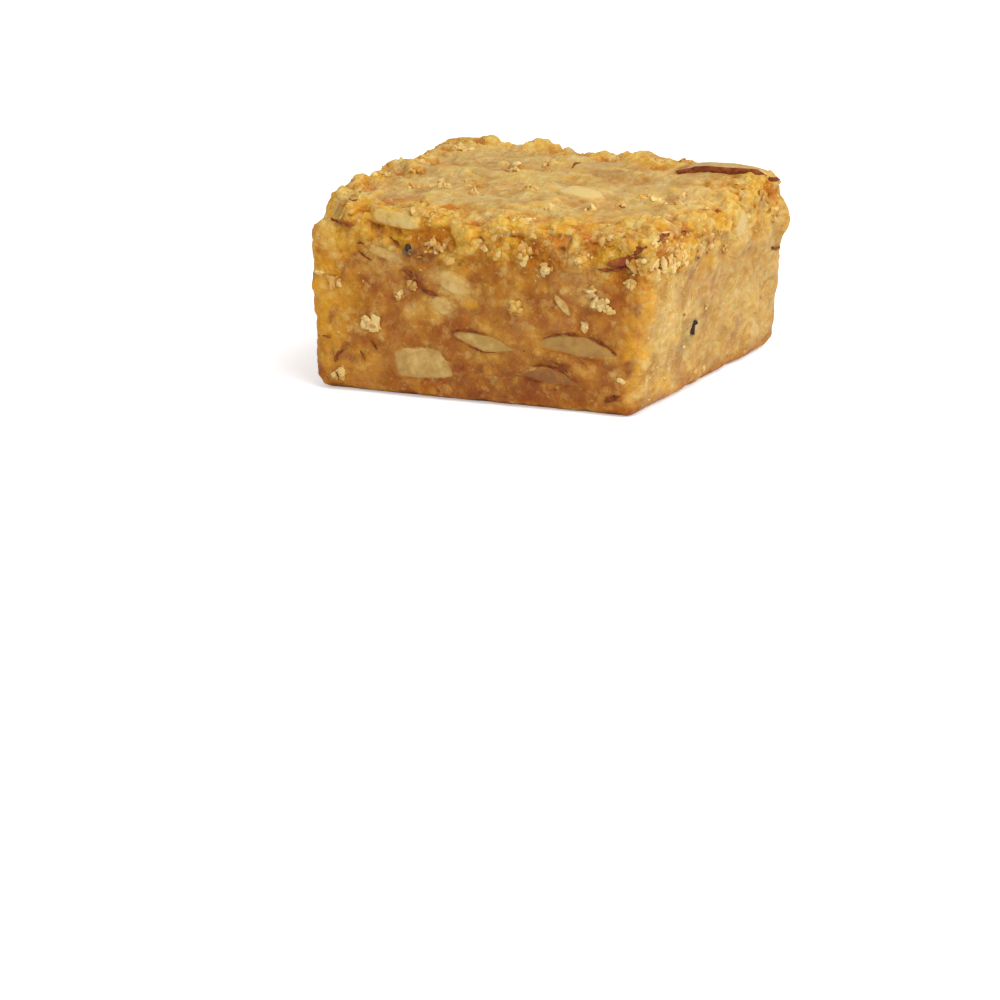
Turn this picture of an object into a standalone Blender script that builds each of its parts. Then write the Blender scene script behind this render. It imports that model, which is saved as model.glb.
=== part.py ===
"""A hand-cut square of almond barfi: one pressed block of nut fudge whose top edges have crumbled,
fused with the almond slices and the crumbs that show on it. Metres, +Z up, origin at the middle of
the base. The front cut faces -Y and the right cut faces +X."""

import bmesh
import bpy
import numpy as np
from mathutils import Matrix, Vector

MM = 0.001

# The block, as it was pressed in the tray and cut
BLOCK_SIZE = (44.7 * MM, 44.0 * MM, 21.5 * MM)
EDGE_RADIUS = 1.9 * MM
GRID_SPACING = 1.6 * MM

# How far the cut left each corner from a true box: (x side, y side, z side): (dx, dy, dz), in mm
CORNER_SHIFTS = {
    (-1, -1, -1): (0.6, 0.9, 0.0),
    (1, -1, -1): (-2.7, 0.6, 0.0),
    (-1, 1, -1): (0.0, 0.0, 0.0),
    (1, 1, -1): (-0.5, -0.6, 0.0),
    (-1, -1, 1): (-0.2, -0.2, 1.7),
    (1, -1, 1): (0.4, 0.6, 0.2),
    (-1, 1, 1): (-0.2, -0.2, 2.2),
    (1, 1, 1): (0.5, 0.0, 0.8),
}

# Unevenness of the pressed and cut faces: size and height of its swells and of its dents
SWELL_SIZE, SWELL_HEIGHT = 13.0 * MM, 0.36 * MM
DENT_SIZE, DENT_HEIGHT = 5.0 * MM, 0.20 * MM

# The crumbled band along the top edges: its width, what broke away, and the crags that are left
CRUMBLED_BAND = 5.0 * MM
CRUMBLED_LOSS = 1.3 * MM
CRAG_SIZE, CRAG_HEIGHT = 3.6 * MM, 1.7 * MM

# The relief dies away towards the base over this height, so that the base stays flat
BASE_FADE = 2.6 * MM

# Knobs and hollows of the outline: (x, y, z, radius, height), in mm
KNOBS = (
    (-17.6, 21.2, 23.0, 2.4, 0.8),
    (-10.4, 21.4, 22.8, 1.7, 0.9),
    (-13.7, 21.4, 22.9, 1.9, -1.3),
    (4.8, 21.5, 22.0, 1.6, 0.9),
    (-21.5, 1.5, 23.0, 2.8, 0.8),
    (-21.3, -9.0, 22.8, 3.0, 0.6),
    (23.0, 21.0, 18.1, 2.6, 0.9),
    (22.3, 18.5, 10.5, 1.3, 0.6),
    (-21.6, -21.2, 13.0, 1.8, 0.4),
)

# The front left top corner, where a piece broke away and left a ledge
LEDGE_CENTRE = (-22.5 * MM, -21.5 * MM)
LEDGE_RADIUS = 4.4 * MM
LEDGE_STEP = 1.5 * MM
LEDGE_DROP = 2.3 * MM

# The sides that slices and crumbs lie on: outward direction, and the direction that "across" counts
SIDES = {
    "front": ((0, -1, 0), (1, 0, 0)),
    "right": ((1, 0, 0), (0, 1, 0)),
    "back": ((0, 1, 0), (-1, 0, 0)),
    "left": ((-1, 0, 0), (0, -1, 0)),
    "top": ((0, 0, 1), (1, 0, 0)),
}

# Almond slices of the front, right and top sides:
# (side, across, up, length, breadth, turn in degrees, how proud, squareness of the outline), in mm
PLACED_SLICES = (
    ("front", -7.5, 4.4, 7.6, 4.2, 7, 0.30, 4.0),
    ("front", 0.7, 7.8, 9.2, 2.4, -9, 0.35, 2.0),
    ("front", 12.6, 8.0, 10.6, 2.9, -3, 0.35, 2.2),
    ("front", 9.0, 4.1, 8.0, 2.2, -9, 0.32, 2.0),
    ("front", -3.3, 14.6, 5.7, 2.8, -19, 0.28, 2.6),
    ("front", -4.9, 11.7, 3.6, 2.4, -25, 0.25, 2.6),
    ("front", 10.7, 13.1, 3.8, 1.2, -55, 0.30, 2.0),
    ("front", -10.8, 21.6, 7.8, 2.4, -4, 0.50, 2.6),
    ("front", -11.9, 17.4, 5.6, 1.7, -18, 0.30, 2.0),
    ("front", 18.0, 18.9, 5.4, 1.7, 17, 0.35, 2.0),
    ("top", 16.5, 18.0, 12.2, 5.2, 22, 0.80, 2.4),
    ("top", 6.0, -5.0, 5.7, 4.6, 22, 0.50, 3.0),
    ("right", 5.4, 18.9, 5.2, 3.8, -35, 0.45, 2.6),
    ("right", -9.0, 11.4, 4.6, 1.8, 64, 0.28, 2.0),
)

# Almond slices strewn over the other sides: how many, where, and between which sizes, in mm
STREWN_SLICES = {
    "back": (8, (-17, 3), (17, 18)),
    "left": (8, (-17, 3), (17, 18)),
    "top": (4, (-16, -16), (16, 16)),
}
SLICE_LENGTHS = (4.0, 10.0)
SLICE_BREADTHS = (1.8, 4.2)
SLICE_PROUD = (0.25, 0.45)
SLICE_SQUARENESS = (2.0, 3.0)
SLICE_TURN_LIMIT = 60
SLICE_FATTEST = 0.6
SLICE_TRIES = 60

# The make of every slice: how deep it goes in, its rim, and how far its crown draws in
SLICE_SINK = 0.9
SLICE_RIM_POINTS = 12
SLICE_RIM_SHARE = 0.4
SLICE_CROWN = 0.72

# Clumps of crumb that stand out on the front, right and top sides: (side, across, up, size), in mm
PLACED_CLUMPS = (
    ("front", -13.9, 8.9, 3.4),
    ("front", -19.0, 13.4, 2.6),
    ("front", -20.4, 14.6, 1.8),
    ("front", 8.7, 17.2, 2.1),
    ("front", 15.4, 13.7, 2.6),
    ("front", 14.1, 14.9, 2.2),
    ("front", 16.7, 12.9, 1.8),
    ("front", 19.1, 16.2, 1.9),
    ("front", 19.0, 21.0, 3.6),
    ("front", 13.5, 10.6, 1.8),
    ("front", -10.5, 12.5, 1.8),
    ("front", -8.8, 13.8, 1.8),
    ("front", 4.6, 12.3, 2.4),
    ("front", -18.4, 2.2, 2.4),
    ("right", -16.3, 18.2, 3.0),
    ("right", -13.3, 18.4, 2.6),
    ("top", -13.7, -9.4, 2.0),
    ("top", -0.8, -3.7, 2.4),
    ("top", -6.3, 3.7, 3.2),
)

# Clumps strewn along the crumbled edges: how many, where, and between which sizes, in mm
STREWN_CLUMPS = {
    "front": (7, (-20, 18), (20, 21)),
    "right": (8, (-20, 16), (20, 21)),
    "back": (9, (-20, 17), (20, 22)),
    "left": (9, (-20, 17), (20, 22)),
    "top": (10, (-19, -19), (19, 19)),
}
CLUMP_SIZES = (1.5, 3.0)
CLUMP_FLATNESS = 0.62
CLUMP_LIFT = 0.02
CLUMP_ROUGHNESS = 0.16

# A thing lies on a plane through at least this many points that face its side this squarely
LYING_POINTS = 8
LYING_SQUARELY = 0.6

# Edges shorter than this are closed up where slices and clumps meet the block
SHORTEST_EDGE = 0.02 * MM

SEED = 20
FUDGE_COLOUR = (0.62, 0.36, 0.11, 1.0)
FUDGE_ROUGHNESS = 0.55


def clear_scene():
    for old in list(bpy.data.objects):
        bpy.data.objects.remove(old)


def random_at(cells, seed):
    """A repeatable random number from 0 to 1 for each whole-number cell of space."""
    x, y, z = np.moveaxis(cells.astype(np.int64), -1, 0)
    mixed = (x * 374761393 + y * 668265263 + z * 2147483647 + seed * 1274126177) & 0xFFFFFFFF
    mixed = ((mixed ^ (mixed >> 13)) * 1274126177) & 0xFFFFFFFF
    return ((mixed ^ (mixed >> 16)) & 0xFFFFFF) / 0xFFFFFF


def smooth_noise(points, size, seed):
    """Noise from -1 to 1: random values at the corners of a lattice, eased between them."""
    scaled = points / size
    base = np.floor(scaled)
    ease = (scaled - base) ** 2 * (3 - 2 * (scaled - base))
    total = np.zeros(len(points))
    for corner in np.ndindex(2, 2, 2):
        weight = np.prod(np.where(corner, ease, 1 - ease), axis=1)
        total += weight * random_at(base + corner, seed)
    return 2 * total - 1


def lumps(points, size, seed):
    """Rounded lumps, one in each lattice cell: 1 at a lump's centre, 0 a full cell away from all."""
    scaled = points / size
    base = np.floor(scaled)
    nearest = np.full(len(points), np.inf)
    for step in np.ndindex(3, 3, 3):
        cell = base + np.array(step) - 1
        centre = cell + np.stack([random_at(cell, seed + axis) for axis in range(3)], axis=1)
        nearest = np.minimum(nearest, np.linalg.norm(scaled - centre, axis=1))
    return np.sqrt(np.clip(1 - nearest**2, 0, 1))


def smooth_step(value, low, high):
    share = np.clip((value - low) / (high - low), 0, 1)
    return share * share * (3 - 2 * share)


def rounded(box_points, half_size):
    """The box's points drawn in to its rounded edges, and the outward direction at each."""
    core = np.clip(box_points, EDGE_RADIUS - half_size, half_size - EDGE_RADIUS)
    outward = box_points - core
    outward /= np.linalg.norm(outward, axis=1, keepdims=True)
    return core + EDGE_RADIUS * outward, outward


def corner_shift(box_points, half_size):
    """The corners' shifts, blended over the block by how near each corner is."""
    share = (box_points / half_size + 1) / 2
    moved = np.zeros_like(box_points)
    for corner, shift in CORNER_SHIFTS.items():
        weight = np.prod(np.where(np.array(corner) > 0, share, 1 - share), axis=1)
        moved += weight[:, None] * np.array(shift) * MM
    return moved


def crumbling(box_points, half_size):
    """How far the block has crumbled: 1 on the top edges, 0 outside the band beside them."""
    below_top = half_size[2] - box_points[:, 2]
    inside = (half_size[:2] - abs(box_points[:, :2])).min(axis=1)
    return 1 - smooth_step(np.hypot(below_top, inside), 0, CRUMBLED_BAND)


def relief(points, crumbled):
    """How far the surface stands out from the plain cut block."""
    height = SWELL_HEIGHT * smooth_noise(points, SWELL_SIZE, SEED)
    height += DENT_HEIGHT * smooth_noise(points, DENT_SIZE, SEED + 1)
    height += crumbled * (CRAG_HEIGHT * lumps(points, CRAG_SIZE, SEED + 2) - CRUMBLED_LOSS)
    for x, y, z, radius, rise in KNOBS:
        away = np.linalg.norm(points / MM - (x, y, z), axis=1)
        height += rise * MM * np.exp(-((away / radius) ** 2))
    return height


def block_form(box_points):
    """The block's surface points from those of a plain box, and the outward direction at each."""
    half_size = np.array(BLOCK_SIZE) / 2
    points, outward = rounded(box_points, half_size)
    points += corner_shift(box_points, half_size) + (0, 0, half_size[2])
    above_base = smooth_step(points[:, 2], 0, BASE_FADE)
    raised = above_base * relief(points, crumbling(box_points, half_size))
    points += outward * raised[:, None]
    from_ledge = np.linalg.norm(points[:, :2] - LEDGE_CENTRE, axis=1)
    broken = 1 - smooth_step(from_ledge, LEDGE_RADIUS - LEDGE_STEP, LEDGE_RADIUS + LEDGE_STEP)
    points[:, 2] -= LEDGE_DROP * broken * smooth_step(points[:, 2], half_size[2], BLOCK_SIZE[2])
    return points, outward


def new_object(name, shape, collection):
    mesh = bpy.data.meshes.new(name)
    shape.to_mesh(mesh)
    shape.free()
    made = bpy.data.objects.new(name, mesh)
    collection.objects.link(made)
    return made


def make_block():
    """A box, cut into even squares on every side and then given the block's form."""
    shape = bmesh.new()
    bmesh.ops.create_cube(shape, size=1, matrix=Matrix.Diagonal((*BLOCK_SIZE, 1)))
    for axis, length in enumerate(BLOCK_SIZE):
        across = Vector([axis == other for other in range(3)])
        cuts = np.linspace(-length / 2, length / 2, round(length / GRID_SPACING) + 1)[1:-1]
        for place in cuts:
            whole = shape.verts[:] + shape.edges[:] + shape.faces[:]
            bmesh.ops.bisect_plane(shape, geom=whole, plane_co=across * place, plane_no=across)
    points, outward = block_form(np.array([corner.co for corner in shape.verts]))
    for corner, place in zip(shape.verts, points):
        corner.co = place
    return new_object("barfi", shape, bpy.context.scene.collection), points, outward


def lying_on(surface, side, across, up, reach):
    """The frame in which a thing lies flat on the block there, its own z axis pointing out."""
    points, outward = surface
    normal, along = (np.array(direction, float) for direction in SIDES[side])
    third = np.cross(normal, along)
    flat = np.stack([points @ along, points @ third], axis=1) - np.array((across, up)) * MM
    distance = np.linalg.norm(flat, axis=1) + np.where(outward @ normal > LYING_SQUARELY, 0, 1)
    near = np.argsort(distance)[: max(LYING_POINTS, int((distance < reach * MM).sum()))]
    plane = np.column_stack([flat[near], np.ones(len(near))])
    lean_along, lean_third, height = np.linalg.lstsq(plane, points[near] @ normal, rcond=None)[0]
    facing = Vector(normal - lean_along * along - lean_third * third).normalized()
    sideways = (Vector(along) - facing * facing.dot(along)).normalized()
    axes = Matrix((sideways, facing.cross(sideways), facing)).transposed().to_4x4()
    return Matrix.Translation((along * across + third * up) * MM + normal * height) @ axes


def add_slice(toppings, surface, side, across, up, length, breadth, turn, proud, squareness):
    """A flat chip with a pointed or squarish outline and a low crown, sunk into the block."""
    angles = np.linspace(0, 2 * np.pi, SLICE_RIM_POINTS, endpoint=False)
    circle = np.stack([np.cos(angles), np.sin(angles)], axis=1)
    outline = np.sign(circle) * abs(circle) ** (2 / squareness) * (length / 2, breadth / 2)
    shape = bmesh.new()
    rings = []
    for share, height in ((1, -SLICE_SINK), (1, SLICE_RIM_SHARE * proud), (SLICE_CROWN, proud)):
        rings.append([shape.verts.new((*(place * share * MM), height * MM)) for place in outline])
    for low, high in zip(rings, rings[1:]):
        for step in range(SLICE_RIM_POINTS):
            shape.faces.new((low[step - 1], low[step], high[step], high[step - 1]))
    shape.faces.new(rings[0][::-1])
    shape.faces.new(rings[-1])
    turned = Matrix.Rotation(np.radians(turn), 4, "Z")
    shape.transform(lying_on(surface, side, across, up, length / 2) @ turned)
    new_object("slice", shape, toppings)


def add_clump(toppings, surface, draw, side, across, up, size):
    """A lumpy ball of crumb, flattened against the block and half sunk in it."""
    shape = bmesh.new()
    bmesh.ops.create_icosphere(shape, subdivisions=1, radius=size * MM / 2)
    for corner in shape.verts:
        corner.co *= 1 + draw.uniform(-CLUMP_ROUGHNESS, CLUMP_ROUGHNESS)
        corner.co.z *= CLUMP_FLATNESS
    lifted = Matrix.Translation((0, 0, CLUMP_LIFT * size * MM))
    turned = Matrix.Rotation(draw.uniform(0, np.pi), 4, "Z")
    shape.transform(lying_on(surface, side, across, up, size) @ lifted @ turned)
    new_object("clump", shape, toppings)


def strewn_slices(draw):
    """Slices drawn at random, each at the clearest of a few places tried for it."""
    placed = [(side, np.array(place)) for side, *place in (row[:3] for row in PLACED_SLICES)]
    drawn = []
    for side, (count, low, high) in STREWN_SLICES.items():
        for _ in range(count):
            places = draw.uniform(low, high, (SLICE_TRIES, 2))
            there = [place for other, place in placed if other == side] or [np.full(2, np.inf)]
            room = [min(np.linalg.norm(place - other) for other in there) for place in places]
            place = places[int(np.argmax(room))]
            placed.append((side, place))
            length = draw.uniform(*SLICE_LENGTHS)
            breadth = min(draw.uniform(*SLICE_BREADTHS), SLICE_FATTEST * length)
            turn = draw.uniform(-SLICE_TURN_LIMIT, SLICE_TURN_LIMIT)
            proud = draw.uniform(*SLICE_PROUD)
            drawn.append((side, *place, length, breadth, turn, proud, draw.uniform(*SLICE_SQUARENESS)))
    return drawn


def strewn_clumps(draw):
    drawn = []
    for side, (count, low, high) in STREWN_CLUMPS.items():
        for _ in range(count):
            drawn.append((side, *draw.uniform(low, high), draw.uniform(*CLUMP_SIZES)))
    return drawn


def fuse(block, toppings):
    """One union of the block with all its toppings, which are then removed."""
    union = block.modifiers.new("toppings", "BOOLEAN")
    union.operation = "UNION"
    union.operand_type = "COLLECTION"
    union.collection = toppings
    union.solver = "EXACT"
    seen = block.evaluated_get(bpy.context.evaluated_depsgraph_get())
    fused = bpy.data.meshes.new_from_object(seen)
    block.modifiers.remove(union)
    block.data = fused
    for topping in list(toppings.objects):
        bpy.data.objects.remove(topping)
    bpy.data.collections.remove(toppings)


def keep_one_body(block):
    """Drops loose scraps and the walls of sealed hollows, which fills them."""
    shape = bmesh.new()
    shape.from_mesh(block.data)
    bmesh.ops.dissolve_degenerate(shape, dist=SHORTEST_EDGE, edges=shape.edges)
    bmesh.ops.triangulate(shape, faces=shape.faces)
    unseen = set(shape.verts)
    bodies = []
    while unseen:
        body = {unseen.pop()}
        front = list(body)
        while front:
            corner = front.pop()
            joined = {edge.other_vert(corner) for edge in corner.link_edges} - body
            body |= joined
            front += joined
        unseen -= body
        bodies.append(body)
    largest = max(bodies, key=len)
    bmesh.ops.delete(shape, geom=[v for v in shape.verts if v not in largest], context="VERTS")
    shape.to_mesh(block.data)
    shape.free()


def fudge_material():
    material = bpy.data.materials.new("fudge")
    material.use_nodes = True
    finish = material.node_tree.nodes["Principled BSDF"]
    finish.inputs["Base Color"].default_value = FUDGE_COLOUR
    finish.inputs["Roughness"].default_value = FUDGE_ROUGHNESS
    finish.inputs["Metallic"].default_value = 0.0
    return material


clear_scene()
draw = np.random.default_rng(SEED)
block, *surface = make_block()
toppings = bpy.data.collections.new("toppings")
bpy.context.scene.collection.children.link(toppings)
for almond in PLACED_SLICES + tuple(strewn_slices(draw)):
    add_slice(toppings, surface, *almond)
for crumb in PLACED_CLUMPS + tuple(strewn_clumps(draw)):
    add_clump(toppings, surface, draw, *crumb)
fuse(block, toppings)
keep_one_body(block)
block.data.materials.clear()
block.data.materials.append(fudge_material())
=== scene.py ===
from collections import namedtuple

import bmesh
import bpy
import numpy as np
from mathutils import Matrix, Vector


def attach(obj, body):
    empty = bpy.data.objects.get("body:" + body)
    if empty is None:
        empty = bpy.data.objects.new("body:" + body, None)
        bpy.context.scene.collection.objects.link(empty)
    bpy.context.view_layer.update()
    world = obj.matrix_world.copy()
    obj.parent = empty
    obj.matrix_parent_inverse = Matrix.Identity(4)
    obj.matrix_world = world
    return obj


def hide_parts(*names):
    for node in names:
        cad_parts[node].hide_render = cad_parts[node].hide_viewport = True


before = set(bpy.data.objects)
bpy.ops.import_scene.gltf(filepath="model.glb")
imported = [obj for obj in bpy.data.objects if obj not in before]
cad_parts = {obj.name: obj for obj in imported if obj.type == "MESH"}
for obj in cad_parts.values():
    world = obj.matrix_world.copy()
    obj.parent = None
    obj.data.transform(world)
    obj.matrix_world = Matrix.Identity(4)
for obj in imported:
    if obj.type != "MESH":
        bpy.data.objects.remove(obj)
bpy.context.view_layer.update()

# The pressed block: ground almonds, gram flour, ghee and sugar, pressed in a tray and cut with a knife.
# The cut faces are dense and fairly smooth, and the top edges have crumbled into a rough golden band.
# Its form and its paste come first. Its mesh waits until the slices have pressed their beds into it.
MM = 0.001
SEED = 20

# All sizes are in mm, and each height belongs to the size beside it. A pair named AT says between
# which values of a noise or a direction the effect grows from nothing to full.
BLOCK_SIZE = np.array((44.7, 44.0, 21.5))
EDGE_RADIUS = 1.9
CORNER_SHIFTS = {
    (-1, -1, -1): (0.6, 0.9, 0.0),
    (1, -1, -1): (-2.7, 0.6, 0.0),
    (1, 1, -1): (-0.5, -0.6, 0.0),
    (-1, -1, 1): (-0.2, -0.2, 1.7),
    (1, -1, 1): (0.4, 0.6, 0.2),
    (-1, 1, 1): (-0.2, -0.2, 2.2),
    (1, 1, 1): (0.5, 0.0, 0.8),
}
SWELL_SIZE, SWELL_HEIGHT = 13.0, 0.36
DENT_SIZE, DENT_HEIGHT = 5.0, 0.20
CRUMBLED_BAND, CRUMBLED_LOSS = 5.0, 0.95
CRAG_SIZE, CRAG_HEIGHT, CRAG_MIDDLE = 3.6, 0.85, 0.75
CRAG_PUSH_SIZE, CRAG_PUSH = 2.4, 1.0
BASE_FADE = 2.6
CHIP_SIZE, CHIP_DEPTH, CHIP_AT = 2.2, 0.7, (0.15, 0.65)
LEDGE_CENTRE, LEDGE_RADIUS = (-22.5, -21.5), 4.5
LEDGE_STEP, LEDGE_DROP = 0.8, 2.4
GRAIN_SIZE, GRAIN_HEIGHT, GRAIN_GAIN = 0.5, 0.03, 2.2
MOUND_SIZE, MOUND_HEIGHT, MOUND_AT = 2.6, 0.45, (0.30, 0.80)
PIT_SIZE, PIT_DEPTH, PIT_AT = 1.3, 0.50, (0.40, 0.75)
TOP_AT, LEFT_ON_CUTS = (0.3, 0.9), 0.25
ROUGH_BAND = 7.5
ROUGH_EDGE_SIZE, ROUGH_EDGE = 4.0, 2.2
SMOOTH_CORNER, SMOOTH_REACH = (-21.5, -21.5, 18.0), 6.5
CALM_BACK, CALM_BACK_AT = 0.55, (18, 21)

# Broken facets over the block: size, height on the cut faces, on the top, and where it is rough
FACETS = (
    (3.1, 0.12, 0.30, 0.55),
    (1.7, 0.10, 0.12, 0.26),
    (0.9, 0.06, 0.05, 0.17),
)
FACET_SHARPNESS = 10.0
FACET_PUSH_SIZE, FACET_PUSH = 0.7, 0.25

# Knobs and hollows where the photo shows them: x, y, z, radius and rise
KNOBS = (
    (-17.6, 21.2, 23.0, 2.4, 0.8),
    (-10.4, 21.4, 22.8, 1.7, 0.9),
    (-13.7, 21.4, 22.9, 1.9, -1.3),
    (4.8, 21.5, 22.0, 1.6, 0.9),
    (-21.5, 1.5, 23.0, 2.8, 0.8),
    (-21.3, -9.0, 22.8, 3.0, 0.6),
    (23.0, 21.0, 16.2, 2.6, 1.0),
    (22.3, 18.5, 10.5, 1.3, 0.6),
    (-21.6, -21.2, 13.0, 1.8, 0.4),
    (22.7, 0.5, 19.4, 1.8, 0.55),
    (22.9, 3.6, 20.7, 1.7, 0.55),
    (22.4, 6.8, 16.8, 1.5, 0.35),
    (22.5, 10.0, 16.9, 1.4, 0.35),
    (19.7, -19.9, 22.3, 1.9, 0.55),
    (18.9, -14.6, 22.2, 1.7, 0.45),
    (22.4, -17.1, 20.0, 1.7, 0.55),
    (13.6, -19.9, 22.0, 1.6, -0.75),
    (-5.4, -19.3, 22.8, 1.1, -0.45),
    (22.3, -18.9, 18.5, 1.1, -0.40),
    (-5.9, -17.0, 22.8, 1.5, -0.40),
    (-6.3, 4.4, 22.8, 1.6, -0.40),
    (-8.3, 5.8, 22.9, 1.8, 0.50),
    (6.5, -5.4, 22.7, 3.0, 0.45),
    (1.5, 3.6, 22.6, 1.3, -0.30),
    (-3.6, 12.9, 22.6, 1.4, -0.30),
    (16.2, 9.6, 22.0, 1.3, -0.30),
    (6.8, -11.2, 22.3, 1.2, -0.30),
    (9.0, -15.0, 22.3, 1.6, 0.30),
    (-8.2, -21.4, 20.2, 2.4, 0.80),
    (-5.6, -21.4, 20.4, 1.6, 0.40),
    (10.2, -21.4, 20.3, 1.7, 0.60),
    (7.6, -21.4, 19.6, 1.7, 0.45),
    (11.0, 20.9, 22.5, 2.1, 0.85),
    (15.2, 21.4, 22.4, 1.7, 0.45),
)


def smooth_step(value, low, high):
    """A value, eased from 0 at the low end to 1 at the high end."""
    share = np.clip((value - low) / (high - low), 0, 1)
    return share * share * (3 - 2 * share)


def random_at(cells, seed):
    """A repeatable random number from 0 to 1 for each whole-number cell of space."""
    x, y, z = np.moveaxis(cells.astype(np.int64), -1, 0)
    mixed = (x * 374761393 + y * 668265263 + z * 2147483647 + seed * 1274126177) & 0xFFFFFFFF
    mixed = ((mixed ^ (mixed >> 13)) * 1274126177) & 0xFFFFFFFF
    return ((mixed ^ (mixed >> 16)) & 0xFFFFFF) / 0xFFFFFF


def smooth_noise(points, size, seed):
    """Noise from -1 to 1: random values at the corners of a lattice, eased between them."""
    scaled = points / size
    base = np.floor(scaled)
    ease = (scaled - base) ** 2 * (3 - 2 * (scaled - base))
    total = np.zeros(len(points))
    for corner in np.ndindex(2, 2, 2):
        weight = np.prod(np.where(corner, ease, 1 - ease), axis=1)
        total += weight * random_at(base + corner, seed)
    return 2 * total - 1


def pushed_aside(points, size, reach, seed):
    """The points, each moved by smooth noise, so that what is drawn over them loses its evenness."""
    push = [smooth_noise(points, size, seed + axis) for axis in range(3)]
    return points + reach * np.stack(push, axis=1)


def cells_around(points, size, seed):
    """For each point, its own lattice cell and the 26 around it in turn: the cell, and how far the
    point lies from that cell's random centre, in cells."""
    scaled = points / size
    base = np.floor(scaled)
    for step in np.ndindex(3, 3, 3):
        cell = base + np.array(step) - 1
        centre = cell + np.stack([random_at(cell, seed + axis) for axis in range(3)], axis=1)
        yield cell, scaled - centre


def lumps(points, size, seed):
    """Rounded lumps, one in each lattice cell: 1 at a lump's centre, 0 a full cell away from all."""
    nearest = np.full(len(points), np.inf)
    for _, away in cells_around(points, size, seed):
        nearest = np.minimum(nearest, np.linalg.norm(away, axis=1))
    return np.sqrt(np.clip(1 - nearest**2, 0, 1))


def facets(points, size, seed):
    """Broken facets from about -1 to 1, and the tone of each: each lattice cell has its own height,
    slope and tone, and gives way quickly to the next cell where that one's centre is nearer."""
    total, tone, weights = np.zeros((3, len(points)))
    for cell, away in cells_around(points, size, seed):
        slope = np.stack([random_at(cell, seed + 3 + axis) for axis in range(3)], axis=1) - 0.5
        weight = np.exp(-FACET_SHARPNESS * (away**2).sum(axis=1))
        total += weight * (2 * random_at(cell, seed + 6) - 1 + 2 * (slope * away).sum(axis=1))
        tone += weight * (2 * random_at(cell, seed + 7) - 1)
        weights += weight
    return total / weights, tone / weights


def from_top_edges(box_points):
    """How far each point is from the nearest top edge of the box."""
    half = BLOCK_SIZE / 2
    below_top = half[2] - box_points[:, 2]
    inside = (half[:2] - abs(box_points[:, :2])).min(axis=1)
    return np.hypot(below_top, inside)


def roughness_of(box_points):
    """How torn the surface is: 1 near the top edges, with a ragged border, and 0 on plain faces."""
    away = from_top_edges(box_points)
    away += ROUGH_EDGE * smooth_noise(box_points, ROUGH_EDGE_SIZE, SEED + 30)
    rough = 1 - smooth_step(away, 0.3 * ROUGH_BAND, ROUGH_BAND)
    from_corner = np.linalg.norm(box_points + (0, 0, BLOCK_SIZE[2] / 2) - SMOOTH_CORNER, axis=1)
    rough *= smooth_step(from_corner, 0.5 * SMOOTH_REACH, SMOOTH_REACH)
    return rough * (1 - CALM_BACK * smooth_step(box_points[:, 1], *CALM_BACK_AT))


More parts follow.
